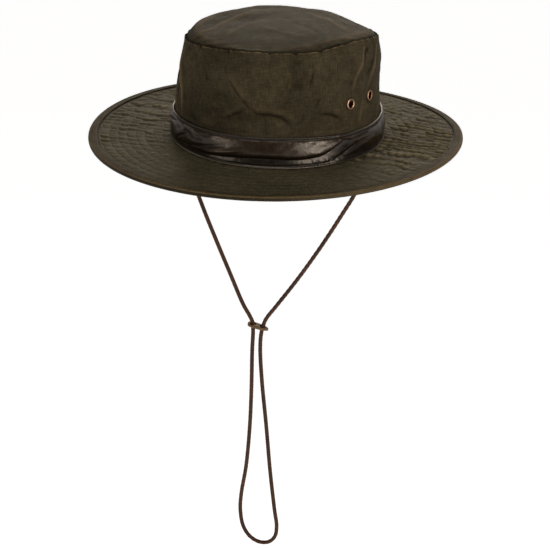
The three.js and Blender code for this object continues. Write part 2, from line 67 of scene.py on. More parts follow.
# How far the seam is pulled up from that level: place in degrees and rise
SEAM_PULL = [
    (-180, 0), (-110, 0), (-80, -2.2), (-62, -3.2), (-46, -2.8), (-25, -1), (-5, 0.6), (8, 0.8), (24, -0.6),
    (40, -2.4), (52, -1.6), (66, -0.8), (85, -1.8), (102, -2), (125, -1), (150, 0), (180, 0),
]

# Crown wall: share of its height, inset and drift
CROWN_SECTIONS = [
    (0, 0, 0), (0.12, 0, 0), (0.3, 1.2, 0), (0.5, 2.4, 0.3), (0.65, 3.1, 1.2), (0.8, 3.9, 2.6),
    (0.9, 5.2, 3.2), (1, 8.2, 3.5),
]
SEAM_INSET, SEAM_DRIFT = 8.2, 3.5
# The rises between which folds and creases come in above the band, and the share of the wall where they fade
FOLDS_START, FOLDS_FULL = 26, 34
CREASES_START, CREASES_FULL = 25, 30
FADE_SHARE = 0.9
# The pressed cloth round an eyelet: how deep and how wide, and the distances where creases come in
PRESS_DEPTH, PRESS_WIDTH, PRESS_START, PRESS_FULL = 0.25, 7, 5, 12

# Folds of the crown wall: place, rise, across, along, lean and depth
CROWN_FOLDS = [
    (-50, 56, 8, 40, 5, 1.6), (-63, 60, 9, 36, 5, -2), (-72, 88, 10, 9, 0, -1.2), (-93, 67, 12, 24, -6, -1),
    (-8, 62, 8, 18, 32, -0.9), (5, 54, 30, 8, 0, 1.3), (6, 37, 24, 6, 0, -1.6), (35, 76, 7, 15, -18, -1.1),
    (50, 36, 12, 5, 0, -1.3), (70, 82, 6, 18, -14, 1.1), (76, 80, 6, 18, -10, -1.3), (83, 78, 6, 22, -8, 1.1),
    (124, 62, 10, 26, 6, -1.4), (138, 48, 26, 9, 8, -1.4), (171, 64, 9, 26, -12, 1.2),
    (-150, 52, 22, 9, -10, -1.4), (-124, 66, 8, 24, 10, 1.2),
]
# Folds of the top panel in plan: x, y, across, along, turn and depth
TIP_FOLDS = [
    (-42, 18, 11, 52, 62, 1.2), (-22, -4, 12, 46, 62, -0.9), (38, 36, 22, 42, 110, 4.4),
    (-30, 54, 26, 26, 0, -2.6), (18, 66, 20, 18, 0, 1.6), (72, 20, 14, 44, 100, -2.4),
]
# Where the top panel swells beside the seam: place and half width in degrees, height, and where it lies
# on the way out from the panel's centre
SWELL_PLACE, SWELL_WIDTH, SWELL_HEIGHT, SWELL_SHARE, SWELL_REACH = -92, 36, 3.9, 0.88, 0.09

# Leather band: row, and how far it stands off the wall there where it lies flat and where it is full
BAND_SECTIONS = [
    (0, 3.2, 3.2), (0.6, 3.5, 3.5), (1.2, 3.2, 3.2), (1.7, 2.5, 2.7), (4, 2.45, 2.3), (6, 2.6, 1.7),
    (7, 2.7, 1.6), (7.8, 2.75, 2.8), (9, 2.75, 4.2), (10.5, 2.7, 4.7), (14, 2.65, 4.3), (18, 2.6, 3.3),
    (21, 2.5, 2.5), (22.2, 2.3, 2.1), (24, 2.3, 2),
]
BAND_CREASE_ROW = 7
# Place round the oval, how full the band swells, the height of its top edge and the height of its crease
BAND_COURSE = [
    (-180, 0.5, 23.5, 7), (-110, 0.6, 22, 8), (-72, 0.25, 21.5, 7), (-46, 0.4, 24, 6), (-28, 0.6, 24.6, 4.6),
    (-13.8, 0.9, 24.8, 5.2), (-0.5, 1, 25.2, 7), (13, 1, 25.6, 8), (26, 1, 25.8, 7.1), (35, 1, 25.4, 7.4),
    (42, 1, 25, 8.6), (47, 0.9, 24.6, 11.4), (52, 0.65, 24.3, 15.6), (57, 0.3, 24, 19.4),
    (63, 0.08, 23.7, 17), (72, 0.05, 23, 11), (84, 0.3, 22.8, 8), (120, 0.7, 23, 7), (180, 0.5, 23.5, 7),
]

# Vent eyelets: node, place and rise
EYELETS = [
    ("eyelet_left_front", 63, 46.5), ("eyelet_left_back", 81, 47), ("eyelet_right_front", -84, 47),
    ("eyelet_right_back", -102, 47),
]

# Fine creases of the crown wall: height, half width, and the places and rises that the line runs through
CREASES = [
    (1.7, 1.5, [(-64, 80), (-55, 70), (-49.5, 60), (-46.5, 47), (-46.5, 36), (-47, 26)]),
    (-1.9, 2.6, [(-68, 80), (-59.5, 66), (-54.5, 52), (-53, 36), (-52, 24)]),
    (1.0, 1.4, [(-60, 56), (-56, 40), (-55, 27)]),
    (0.7, 1.1, [(-51, 40), (-50.5, 32), (-51.5, 25)]),
    (-0.8, 1.1, [(-48.6, 38), (-48, 31), (-49, 25)]),
    (1.1, 1.3, [(81, 97), (75, 90), (71.8, 83.6), (69.5, 76), (66.8, 68.1), (65, 60)]),
    (-0.5, 1.4, [(83, 94), (76.5, 85), (73.5, 74), (71, 64)]),
    (1.2, 1.4, [(95, 93), (90, 82.8), (85, 71.9), (81.5, 62.3), (79, 54)]),
    (-0.4, 1.4, [(88.5, 92), (85, 82), (81.5, 72), (78.5, 63)]),
    (0.7, 1.6, [(104, 78), (106, 66), (104, 54)]),
    (-1.0, 1.5, [(8, 44.6), (15.5, 44.2), (21.5, 42.4), (25.8, 37), (28, 33)]),
    (0.6, 2.6, [(3, 50), (9, 49), (16, 47.6), (23, 46.4), (29, 41)]),
    (-0.55, 1.6, [(-13, 34.2), (-5, 41.4), (2.2, 47)]),
    (0.4, 2.0, [(-14, 37), (-5.5, 44.4), (1, 50)]),
    (-0.95, 1.4, [(41, 42.6), (45, 43), (50.5, 41), (54, 38.2), (58, 33.5)]),
    (0.45, 2.4, [(43, 47), (51, 45), (60, 38)]),
    (-0.9, 0.9, [(36.8, 88.5), (38, 80), (37.6, 73), (36.6, 66)]),
    (0.5, 1.3, [(39.8, 86), (40.4, 78), (39.4, 70)]),
    (-0.6, 1.4, [(-11.5, 71), (-7, 65), (-2.6, 58.6), (3.5, 49.3), (8.5, 45)]),
    (0.45, 2.2, [(-8.6, 72), (-4, 66), (0.6, 59.6), (6, 52)]),
    (-0.5, 1.3, [(31, 45), (34, 40.5), (30.5, 35.5)]),
    (0.4, 2.0, [(22, 84), (26, 72), (24, 60)]),
    (-0.4, 1.8, [(-28, 80), (-24, 66), (-27, 50)]),
    (-0.5, 1.2, [(46, 58), (42, 54), (41, 48)]),
    (0.35, 3.0, [(-36, 60), (-20, 62), (-8, 58)]),
    (0.8, 1.8, [(118, 84), (124, 62), (121, 40)]),
    (-0.9, 2.0, [(126, 46), (139, 50), (154, 43)]),
    (0.7, 2.0, [(172, 82), (168, 62), (173, 42)]),
    (-0.8, 1.8, [(-161, 48), (-149, 53), (-137, 46)]),
    (0.8, 1.8, [(-124, 86), (-121, 64), (-126, 44)]),
    (-0.6, 1.8, [(-104, 84), (-107, 66), (-103, 56)]),
]
# Where the crown wall is painted paler, partly wax rubbed off and partly painted highlight: share, half width
# and line
WEAR_AND_HIGHLIGHT_LINES = [
    (1.0, 1.5, [(-66, 82), (-55, 70), (-49.5, 60), (-46.5, 47), (-46.5, 36), (-47, 24)]),
    (0.6, 1.6, [(-62, 56), (-57, 40), (-55, 25)]),
    (0.55, 3.2, [(-84, 86), (-72, 86), (-62, 84), (-54, 85)]),
    (0.6, 1.3, [(82, 98), (75, 90), (71.8, 83.6), (69.5, 76), (66.8, 68.1), (65, 58)]),
    (0.65, 1.5, [(95, 93), (90, 82.8), (85, 71.9), (81.5, 62.3), (79, 52)]),
    (0.7, 2.0, [(112, 92), (109, 70), (108, 50), (106, 30)]),
    (0.35, 1.8, [(74, 46), (72, 36), (70, 27)]),
    (0.3, 2.2, [(-11, 72), (-4, 64), (3, 55)]),
    (0.2, 3.0, [(2, 50), (16, 48), (26, 44)]),
]
# Fine creases of the top panel in plan: height, half width, and the points that the line runs through
TIP_CREASES = [
    (1.7, 3.2, [(-58, -58), (-45.4, -43.6), (-42.9, -10.7), (-35, 16.3), (-31.6, 41.3), (-24, 60)]),
    (-1.5, 5.0, [(-60, -36), (-56, -8), (-48, 18), (-40, 42)]),
    (-1.0, 5.0, [(-36, -62), (-33, -30), (-26, 0), (-20, 26)]),
    (0.8, 3.4, [(-26, -66), (-22, -40), (-14, -10), (-8, 14)]),
    (0.9, 3.0, [(8.8, 40), (19.3, 32.6), (45.9, 0), (67.5, -17.8)]),
    (-0.9, 3.0, [(18, 54), (36, 30), (54, 8), (68, -8)]),
    (0.8, 2.8, [(32, 58), (52, 36), (68, 12)]),
    (-0.6, 3.4, [(4, 8), (24, -16), (50, -40)]),
    (0.5, 5.0, [(-4, -30), (20, -44), (44, -52)]),
]
# Where the top panel is painted paler, partly wax rubbed off and partly painted highlight, and the line of
# painted shade along a crease hollow: share, half width and line
TIP_WEAR_AND_HIGHLIGHT_LINES = [
    (0.5, 3.5, [(66, -34), (72, -20), (76, -2), (76, 16)]),
    (0.6, 2.8, [(-58, -56), (-47, -44), (-43, -12), (-36, 16), (-32, 40)]),
]
TIP_SHADE_LINE = (0.55, 5.0, [(-64, -46), (-57, -30), (-53, -4), (-45, 22), (-38, 46)])

# Unevenness of the cloth: height, number of waves, longest, shortest and seed of each layer
WALL_WAVES = [(0.42, 14, 46, 16, 3), (0.1, 16, 13, 5, 4)]
SEAM_WAVES = [(0.7, 18, 19, 8, 21), (0.6, 16, 7, 3.5, 22)]
TIP_WAVES = [(0.3, 12, 60, 22, 31), (0.06, 14, 16, 6, 32)]
TIP_RIM_WAVES = [(0.3, 16, 22, 9, 33)]
BAND_WAVES = [(0.12, 14, 24, 8, 41)]
BAND_TUCKS = [(1, 14, 7, 3, 42)]
TAPE_WAVES = [(0.12, 14, 30, 9, 51)]


def read_table(rows, place):
    """Smooth curves between the rows of a table, whose first column is the place, for each other column."""
    keys, *columns = np.array(rows, float).T
    x = np.clip(place, keys[0], keys[-1])
    i = np.clip(np.searchsorted(keys, x, side="left") - 1, 0, len(keys) - 2)
    before, after = np.maximum(i - 1, 0), np.minimum(i + 2, len(keys) - 1)
    span = keys[i + 1] - keys[i]
    u = (x - keys[i]) / span
    found = []
    for values in columns:
        start = (values[i + 1] - values[before]) / (keys[i + 1] - keys[before])
        end = (values[after] - values[i]) / (keys[after] - keys[i])
        bend = start * span * u * (1 - u) ** 2 - end * span * u * u * (1 - u)
        found.append(values[i] + (values[i + 1] - values[i]) * u * u * (3 - 2 * u) + bend)
    return found if len(found) > 1 else found[0]


def spread(*columns):
    """Points from their coordinates, each a number or an array."""
    return np.stack(np.broadcast_arrays(*columns), -1)


def smoothstep(x, low, high):
    u = np.clip((x - low) / (high - low), 0, 1)
    return u * u * (3 - 2 * u)


def bell(x, width):
    return np.exp(-((x / width) ** 2))


def passing(x, gain, least, most):
    """A share of painted wear and highlight, or of painted shade, that grows with a height once it passes a
    least value.
    """
    return np.clip(gain * x - least, 0, most)


def unit(vectors):
    return vectors / np.linalg.norm(vectors, axis=-1)[..., None]


def wrapped(t):
    return np.arctan2(np.sin(t), np.cos(t))


def place_of(t):
    """The place round the oval in degrees, -180 to 180, with 0 at the front."""
    return np.degrees(wrapped(t))


def beside(t, place):
    """The way round the oval from a place, in millimetres."""
    return wrapped(t - math.radians(place)) * MEAN_RADIUS


def arc(degrees):
    """The length of a turn round the oval, in millimetres."""
    return math.radians(degrees) * MEAN_RADIUS


def angles(count):
    return np.arange(count) / count * TAU


def level(table, t):
    """A level round the oval, from its mean and its waves."""
    height = np.full_like(t, table[0], dtype=float)
    for crests, cosine, sine in table[1]:
        height = height + cosine * np.cos(crests * t) + sine * np.sin(crests * t)
    return height


def seam_pull(t):
    return read_table(SEAM_PULL, place_of(t))


def seam_level(t):
    return level(SEAM_LEVEL, t) + seam_pull(t)


def oval(t, out, z, drift=0):
    """Points round the head's oval, a way out from it, at a height and moved sideways."""
    return spread((HALF_WIDTH + out) * np.sin(t) + drift, -(HALF_LENGTH + out) * np.cos(t), z)


def uneven(points, layers):
    """Smooth random heights at points in millimetres, the sum of the layers."""
    total = 0
    for height, count, longest, shortest, seed in layers:
        made = np.random.default_rng(seed)
        turn = unit(made.normal(size=(count, 3)))
        waves = turn * (TAU / np.exp(made.uniform(math.log(shortest), math.log(longest), count)))[:, None]
        phase = made.uniform(0, TAU, count)
        total = total + height * sum(np.sin(points @ w + f) for w, f in zip(waves, phase)) / math.sqrt(count)
    return total


def fold(side, up, across, along, lean, depth):
    """A long soft fold, leaning by an angle in degrees."""
    lean = math.radians(lean)
    u = side * math.cos(lean) - up * math.sin(lean)
    w = side * math.sin(lean) + up * math.cos(lean)
    return depth * bell(u, across) * bell(w, along)


def crown_push(t, rise):
    """How far the main folds push the crown wall out."""
    push = sum(fold(beside(t, place), rise - up, *rest) for place, up, *rest in CROWN_FOLDS)
    share = rise / (seam_level(t) - level(FOOT_LEVEL, t))
    return push * smoothstep(rise, FOLDS_START, FOLDS_FULL) * (1 - smoothstep(share, FADE_SHARE, 1))


def flat_push(height, width, points, side, rise):
    """A crease along a line of points on a flat cloth, fading out towards both its ends."""
    points = np.array(points, float)
    lengths = np.linalg.norm(np.diff(points, axis=0), axis=1)
    total, best, along = lengths.sum(), np.inf, 0.0
    for i, length in enumerate(lengths):
        a, b = points[i], points[i + 1]
        share = ((side - a[0]) * (b[0] - a[0]) + (rise - a[1]) * (b[1] - a[1])) / length ** 2
        share = np.clip(share, 0, 1)
        far = np.hypot(side - a[0] - share * (b[0] - a[0]), rise - a[1] - share * (b[1] - a[1]))
        nearer = far < best
        best = np.where(nearer, far, best)
        along = np.where(nearer, (lengths[:i].sum() + share * length) / total, along)
    fade = np.sin(math.pi * np.clip(along, 0.04, 0.96)) ** 0.6
    return height * fade * np.exp(-((best / width) ** 1.5))


def line_push(height, width, places, t, rise):
    """A crease along a line of places round the oval."""
    middle = math.radians(places[len(places) // 2][0])
    side = (wrapped(t - middle) + middle) * MEAN_RADIUS
    return flat_push(height, width, [(arc(place), up) for place, up in places], side, rise)


def crown_detail(t, rise):
    """Fine creases and unevenness on top of the main folds."""
    push = sum(line_push(*crease, t, rise) for crease in CREASES)
    share = rise / (seam_level(t) - level(FOOT_LEVEL, t))
    push = push + uneven(spread(MEAN_RADIUS * np.sin(t), MEAN_RADIUS * np.cos(t), rise), WALL_WAVES)
    for _, place, up in EYELETS:
        far = np.hypot(beside(t, place), rise - up)
        pressed = PRESS_DEPTH * bell(far, PRESS_WIDTH) * smoothstep(far, 4, 6)
        push = push * smoothstep(far, PRESS_START, PRESS_FULL) - pressed
    return push * smoothstep(rise, CREASES_START, CREASES_FULL) * (1 - smoothstep(share, FADE_SHARE, 1))


def wall_point(t, share, out, fine=False):
    """Points a way out from the crown wall's cloth, at a share of its height."""
    foot = level(FOOT_LEVEL, t) + GAP
    z = foot + (seam_level(t) - foot) * share
    rise = z - level(FOOT_LEVEL, t)
    push = crown_push(t, rise) + (crown_detail(t, rise) if fine else 0)
    inset, drift = read_table(CROWN_SECTIONS, share)
    return oval(t, out - inset + push, z, drift)


def wall_point_at_rise(t, rise, out):
    share = (rise - GAP) / (seam_level(t) - level(FOOT_LEVEL, t) - GAP)
    return wall_point(t, share, out)


def seam_point(t, out, up):
    """Points a way out and up from the seam between the wall and the top panel."""
    return oval(t, out - SEAM_INSET, seam_level(t) + up, SEAM_DRIFT)


def brim_point(t, reach, up):
    """Points a way up from the middle of the brim's cloth, at a reach from the crown."""
    share = np.maximum(0, (reach - BAND_EDGE) / (BRIM_REACH - BAND_EDGE))
    fall = BRIM_STRAIGHT * share + (1 - BRIM_STRAIGHT) * share * share
    start = level(FOOT_LEVEL, t) - BRIM_HALF
    z = start + (level(EDGE_LEVEL, t) - start) * fall
    return oval(t, reach - CLOTH, z + up, BRIM_DRIFT * share)


def blurred(field, round_cells, row_cells):
    """A field on a grid of rows by angles, evened out over a number of cells each way."""
    out = field
    for _ in range(2):
        out = sum(np.roll(out, k, 1) for k in range(-round_cells, round_cells + 1)) / (2 * round_cells + 1)
        padded = np.pad(out, ((row_cells, row_cells), (0, 0)), mode="edge")
        out = sum(padded[k:k + len(field)] for k in range(2 * row_cells + 1)) / (2 * row_cells + 1)
    return out


def sampled(controls, rows):
    """Rings on a smooth section through rings of control points, at the given rows between them."""
    controls = np.array(controls)
    last = len(controls) - 1
    i = np.clip(np.floor(rows).astype(int), 0, last - 1)
    u = (np.array(rows) - i)[:, None, None]
    a, b = controls[np.maximum(i - 1, 0)], controls[i]
    c, d = controls[i + 1], controls[np.minimum(i + 2, last)]
    cubic = (2 * a - 5 * b + 4 * c - d) * u ** 2 + (3 * b - a - 3 * c + d) * u ** 3
    return 0.5 * (2 * b + (c - a) * u + cubic)


def dress(piece, node=None):
    """Ties a piece to the body and hides the CAD node that it replaces."""
    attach(piece, "root")
    if node:
        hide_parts(node)


def add(name, data):
    made = bpy.data.objects.new(name, data)
    scene.collection.objects.link(made)
    return made


def add_smooth(name, mesh, material):
    mesh.materials.append(material)
    mesh.polygons.foreach_set("use_smooth", np.ones(len(mesh.polygons), bool))
    return add(name, mesh)


def mesh_from(name, points, quads, triangles, uvs, fields):
    """A mesh from points in millimetres, its four-sided and three-sided faces, and values at the points."""
    mesh = bpy.data.meshes.new(name)
    corners = np.concatenate([quads.reshape(-1), triangles.reshape(-1)])
    starts = np.concatenate([np.arange(len(quads)) * 4, quads.size + np.arange(len(triangles)) * 3])
    mesh.vertices.add(len(points))
    mesh.vertices.foreach_set("co", (points * MM).astype(np.float32).reshape(-1))
    mesh.loops.add(len(corners))
    mesh.loops.foreach_set("vertex_index", corners.astype(np.int32))
    mesh.polygons.add(len(starts))
    mesh.polygons.foreach_set("loop_start", starts.astype(np.int32))
    mesh.uv_layers.new(name="cloth").data.foreach_set("uv", (uvs * MM).astype(np.float32).reshape(-1))
    for key, values in fields.items():
        values = values.astype(np.float32).reshape(-1)
        mesh.attributes.new(key, "FLOAT", "POINT").data.foreach_set("value", values)
    mesh.update(calc_edges=True)
    mesh.validate()
    return mesh


def shell(name, rings, material, poles=None, **fields):
    """A body from rings of points. Its section is a closed loop, or runs from one pole to the other."""
    rows, count = rings.shape[:2]
    step = np.linalg.norm(np.diff(rings, axis=0), axis=2).mean(1)
    closing = np.linalg.norm(rings[-1] - rings[0], axis=1).mean()
    down = np.cumsum(np.concatenate([[0], step, [closing]]))
    a = np.arange(rows if poles is None else rows - 1)[:, None]
    i = np.arange(count)[None, :]
    b, j = (a + 1) % rows, (i + 1) % count
    quads = spread(a * count + i, a * count + j, b * count + j, b * count + i).reshape(-1, 4)
    u0, u1 = i / count * TAU * MEAN_RADIUS, (i + 1) / count * TAU * MEAN_RADIUS
    v0, v1 = down[a], down[a + 1]
    uvs = spread(u0, v0, u1, v0, u1, v1, u0, v1).reshape(-1, 4, 2)
    points, triangles = rings.reshape(-1, 3), np.zeros((0, 3), int)
    if poles is not None:
        first, final, last_row = rows * count, rows * count + 1, (rows - 1) * count
        i = i[0]
        j = j[0]
        triangles = np.concatenate([spread(first, j, i), spread(final, last_row + i, last_row + j)])
        points = np.concatenate([points, poles])
        fields = {key: np.append(values.reshape(-1), [0, 0]) for key, values in fields.items()}
    a, b, c = (points[quads[:, k]] for k in range(3))
    if np.einsum("ij,ij->i", a, np.cross(b, c)).sum() < 0:
        quads, uvs, triangles = quads[:, ::-1], uvs[:, ::-1], triangles[:, ::-1]
    uvs = np.concatenate([uvs.reshape(-1, 2), np.zeros((triangles.size, 2))])
    return add_smooth(name, mesh_from(name, points, quads, triangles, uvs, fields), material)


class Paint:
    """A node material under construction."""

    def __init__(self, name, **values):
        self.material = bpy.data.materials.new(name)
        self.material.use_nodes = True
        self.tree = self.material.node_tree
        self.shader = self.tree.nodes["Principled BSDF"]
        for socket, value in values.items():
            self.shader.inputs[socket.replace("_", " ")].default_value = value

    def node(self, kind, output, inputs=None, **settings):
        made = self.tree.nodes.new(kind)
        for key, value in settings.items():
            setattr(made, key, value)
        for key, value in (inputs or {}).items():
            if hasattr(value, "is_linked"):
                self.tree.links.new(value, made.inputs[key])
            else:
                made.inputs[key].default_value = value
        return made.outputs[output]

    def place(self, kind="Object"):
        return self.node("ShaderNodeTexCoord", kind)

    def attribute(self, name):
        return self.node("ShaderNodeAttribute", "Fac", attribute_name=name)

    def noise(self, scale, detail=3, distortion=0, roughness=0.5, where=None):
        inputs = {"Vector": where or self.place(), "Scale": scale, "Detail": detail}
        inputs.update({"Distortion": distortion, "Roughness": roughness})
        return self.node("ShaderNodeTexNoise", "Fac", inputs)

    def fit(self, value, low, high, to_low=0.0, to_high=1.0):
        inputs = {"Value": value, "From Min": low, "From Max": high, "To Min": to_low, "To Max": to_high}
        return self.node("ShaderNodeMapRange", "Result", inputs, clamp=True)

    def math(self, operation, a, b):
        return self.node("ShaderNodeMath", 0, {0: a, 1: b}, operation=operation)

    def mix(self, share, a, b, blend="MIX"):
        """Two colours mixed. The node takes them at its inputs 6 and 7, and gives a colour at output 2."""
        return self.node("ShaderNodeMix", 2, {0: share, 6: a, 7: b}, data_type="RGBA", blend_type=blend)

    def shade(self, colour, *fitted):
        """Multiplies a colour by a field fitted to a range."""
        return self.mix(1.0, colour, self.fit(*fitted), "MULTIPLY")

    def bump(self, *layers):
        """A normal from layers of height, distance and strength."""
        normal = None
        for height, distance, strength in layers:
            inputs = {"Height": height, "Distance": distance, "Strength": strength}
            if normal:
                inputs["Normal"] = normal
            normal = self.node("ShaderNodeBump", "Normal", inputs)
        return normal

    def connect(self, **sockets):
        for socket, value in sockets.items():
            self.tree.links.new(value, self.shader.inputs[socket.replace("_", " ")])
        return self.material


def srgb(red, green, blue):
    """A colour from its 0 to 255 values, as the shader takes it."""
    return tuple(((c / 255 + 0.055) / 1.055) ** 2.4 for c in (red, green, blue)) + (1,)


def weave(paint, where, pitch):
    """The height of a plain weave of that pitch in metres."""
    inputs = {"Vector": where, "Scale": TAU / (20 * pitch)}
    across, along = (paint.node("ShaderNodeTexWave", "Fac", inputs, bands_direction=way) for way in "XY")
    over = paint.node("ShaderNodeTexChecker", "Fac", {"Vector": where, "Scale": 1 / pitch})
    return paint.node("ShaderNodeMix", 0, {0: over, 2: across, 3: along}, data_type="FLOAT")


def cotton(name, dark, light, rubbed, place="UV", pitch=0.0007, shine=0.15, rough=0.62):
    paint = Paint(name, Roughness=rough, Specular_IOR_Level=shine, Specular_Tint=(1.0, 0.88, 0.7, 1))
    cloth = paint.place(place)
    threads = []
    for scale in ((130, 1000, 130), (1000, 130, 1000)):
        stretched = paint.node("ShaderNodeMapping", 0, {"Vector": cloth, "Scale": scale})
        threads.append(paint.noise(1, 3, 0.2, 0.6, stretched))
    slubs = paint.math("ADD", *threads)
    patches = paint.noise(22, 4, 0.6)
    mottle = paint.noise(150, 5, 0.3, 0.65)
    grain = paint.noise(900, 3)
    colour = paint.mix(paint.fit(patches, 0.32, 0.68), srgb(*dark), srgb(*light))
    colour = paint.shade(colour, mottle, 0.25, 0.75, 0.78, 1.22)
    colour = paint.shade(colour, grain, 0.3, 0.7, 0.86, 1.14)
    colour = paint.shade(colour, slubs, 0.7, 1.3, 0.6, 1.4)
    # The pale colour is partly wear and partly painted highlight on ridges, crests and edges
    paler_share = paint.math("MULTIPLY", paint.attribute("rub"), paint.fit(mottle, 0.3, 0.7, 0.55, 1.15))
    colour = paint.mix(paler_share, colour, srgb(*rubbed))
    # Painted shade in hollows, seams, grooves and under folds
    colour = paint.mix(paint.attribute("deep"), colour, srgb(18, 15, 8))
    normal = paint.bump(
        (patches, 0.0012, 0.35), (mottle, 0.0005, 0.5), (slubs, 0.00025, 0.6),
        (weave(paint, cloth, pitch), 0.00008, 0.7),
    )
    roughness = paint.fit(mottle, 0.25, 0.75, rough - 0.1, rough + 0.1)
    return paint.connect(Base_Color=colour, Roughness=roughness, Normal=normal)


def leather(name, dark, light, roughness, grain_size=0.0009, shine=0.5):
    paint = Paint(name, Roughness=roughness, Specular_IOR_Level=shine, Specular_Tint=(1.0, 0.88, 0.76, 1))
    patches = paint.noise(40, 4, 0.4)
    inputs = {"Vector": paint.place(), "Scale": 1 / grain_size}
    cells = paint.node("ShaderNodeTexVoronoi", "Distance", inputs, feature="SMOOTH_F1")
    fine = paint.noise(420, 5, 0.5, 0.6)
    colour = paint.mix(paint.fit(patches, 0.35, 0.7), srgb(*dark), srgb(*light))
    colour = paint.shade(colour, fine, 0.25, 0.75, 0.8, 1.25)
    # Painted highlight on crease ridges, partly wear
    rubbed = tuple(min(1, 3.4 * c) for c in srgb(*light)[:3]) + (1,)
    colour = paint.mix(paint.attribute("rub"), colour, rubbed)
    # Painted shade in creases, hollows, grooves and under the bulge
    colour = paint.mix(paint.attribute("deep"), colour, srgb(9, 6, 3))
    # Painted highlight along the cut edges, partly the pale cut leather
    colour = paint.mix(paint.attribute("edge"), colour, srgb(136, 130, 118))
    normal = paint.bump((fine, 0.0003, 0.25), (cells, 0.00015, 0.4))
    gloss = paint.fit(fine, 0.2, 0.8, roughness - 0.08, roughness + 0.14)
    return paint.connect(Base_Color=colour, Roughness=gloss, Normal=normal)


def thread(name, colour):
    paint = Paint(name, Roughness=0.7, Sheen_Weight=0.1)
    strands = paint.noise(1400, 3)
    shaded = paint.shade(srgb(*colour), strands, 0.3, 0.7, 0.75, 1.25)
    return paint.connect(Base_Color=shaded, Normal=paint.bump((strands, 0.0001, 0.5)))


def braid(name, dark, light):
    paint = Paint(name, Roughness=0.78, Specular_IOR_Level=0.35, Sheen_Weight=0.05, Sheen_Roughness=0.4)
    strands = paint.noise(1100, 4)
    paler_share = paint.noise(60, 4, 0.5)
    colour = paint.mix(paint.fit(paler_share, 0.35, 0.7), srgb(*dark), srgb(*light))
    colour = paint.shade(colour, strands, 0.3, 0.7, 0.7, 1.3)
    return paint.connect(Base_Color=colour, Normal=paint.bump((strands, 0.0002, 0.6)))


def brass(name, bright, dull):
    paint = Paint(name, Metallic=1.0, Roughness=0.3)
    tarnish = paint.noise(260, 5, 0.8)
    colour = paint.mix(paint.fit(tarnish, 0.35, 0.65), srgb(*bright), srgb(*dull))
    # Painted shade inside the bore and on the flange below the cloth
    colour = paint.mix(paint.attribute("deep"), colour, srgb(14, 8, 5))
    normal = paint.bump((tarnish, 0.0001, 0.3))
    return paint.connect(Base_Color=colour, Roughness=paint.fit(tarnish, 0.3, 0.7, 0.22, 0.42), Normal=normal)


# The same cloth in three copies, each toned on its own. The last colour of each is painted wear and
# highlight, and on the brim it is mostly painted highlight on pucker crests
WAXED = cotton("waxed_cotton", (51, 45, 32), (68, 60, 44), (124, 103, 76), shine=0.08, rough=0.82)
WAXED_TIP = cotton("waxed_cotton_tip", (44, 39, 28), (56, 53, 41), (106, 89, 66), "Object", shine=0.075)
WAXED_BRIM = cotton("waxed_cotton_brim", (52, 47, 32), (65, 60, 42), (156, 140, 108), "Object", shine=0.22)
TAPE = cotton("tape_cotton", (47, 40, 26), (59, 51, 34), (122, 102, 72), "UV", 0.0006)
BAND_LEATHER = leather("band_leather", (25, 16, 7), (40, 27, 14), 0.3, shine=0.65)
TAB_LEATHER = leather("tab_leather", (48, 34, 24), (62, 44, 32), 0.5)
SLIDER_LEATHER = leather("slider_leather", (84, 61, 36), (108, 82, 52), 0.5, 0.0006)
BROWN_THREAD = thread("brown_thread", (60, 50, 35))
DARK_THREAD = thread("dark_thread", (40, 32, 26))
CORD = braid("cord_braid", (58, 34, 18), (80, 50, 30))
BRASS = brass("aged_brass", (226, 186, 150), (150, 98, 66))

# Chin cord: its course, as in the part's source
CORD_COURSE = np.array([
    (-82.05, 0, 14.5), (-82.05, 0, 0), (-81.9, 0, -16), (-80.2, 0, -38), (-76.6, 0, -58.6),
    (-69.9, 0, -77.5), (-58, 0, -106.5), (-45.6, 0, -135.6), (-32.6, 0, -165.6), (-27, 0, -175),
    (-24, 0, -181.4), (-23.5, 0, -189), (-24.3, -0.5, -210), (-25, -1, -246), (-26.6, -1.5, -284),
    (-30.6, -1, -326), (-36, 0, -357), (-37.2, 0.5, -374), (-34.6, 0.8, -391), (-28.2, 1, -401),
    (-18.8, 1, -405.6), (-9.2, 1, -404), (-3, 0.8, -397), (-1.2, 0.5, -386), (-3.2, 0, -368),
    (-7.6, 0.8, -330), (-11.6, 1.5, -284), (-15.6, 1, -238), (-16.9, 0.5, -208), (-16, 0, -193.5),
    (-14.4, 0, -185.7), (-11.2, 0, -177), (-1.6, 0, -163.4), (17.9, 0, -135.9), (39, 0, -103.4),
    (57.8, 0, -71.8), (71.6, 0, -46.8), (79.8, 0, -24), (82.05, 0, -6), (82.05, 0, 6),
])
CORD_STEP, CORD_SIDES, CURVE_STEPS = 0.42, 20, 60
BRAID_PITCH, BRAID_STRANDS, BRAID_RELIEF, BRAID_MEAN = 5.2, 4, 0.16, 0.2


def smooth_course(points, step):
    """A centripetal curve through the points, at even steps along it."""
    ends = np.concatenate([[2 * points[0] - points[1]], points, [2 * points[-1] - points[-2]]])
    pieces = []
    for i in range(len(points) - 1):
        p = ends[i:i + 4]
        d0, d1, d2 = np.sqrt(np.linalg.norm(np.diff(p, axis=0), axis=1))
        m1 = ((p[1] - p[0]) / d0 - (p[2] - p[0]) / (d0 + d1) + (p[2] - p[1]) / d1) * d1
        m2 = ((p[2] - p[1]) / d1 - (p[3] - p[1]) / (d1 + d2) + (p[3] - p[2]) / d2) * d1
        u = np.linspace(0, 1, CURVE_STEPS, endpoint=False)[:, None]
        cubic = (2 * p[1] - 2 * p[2] + m1 + m2) * u ** 3 + (3 * p[2] - 3 * p[1] - 2 * m1 - m2) * u ** 2
        pieces.append(cubic + m1 * u + p[1])
    line = np.concatenate(pieces + [points[-1:]])
    far = np.concatenate([[0], np.cumsum(np.linalg.norm(np.diff(line, axis=0), axis=1))])
    places = np.linspace(0, far[-1], int(far[-1] / step) + 1)
    return spread(*(np.interp(places, far, line[:, k]) for k in range(3))), far[-1]


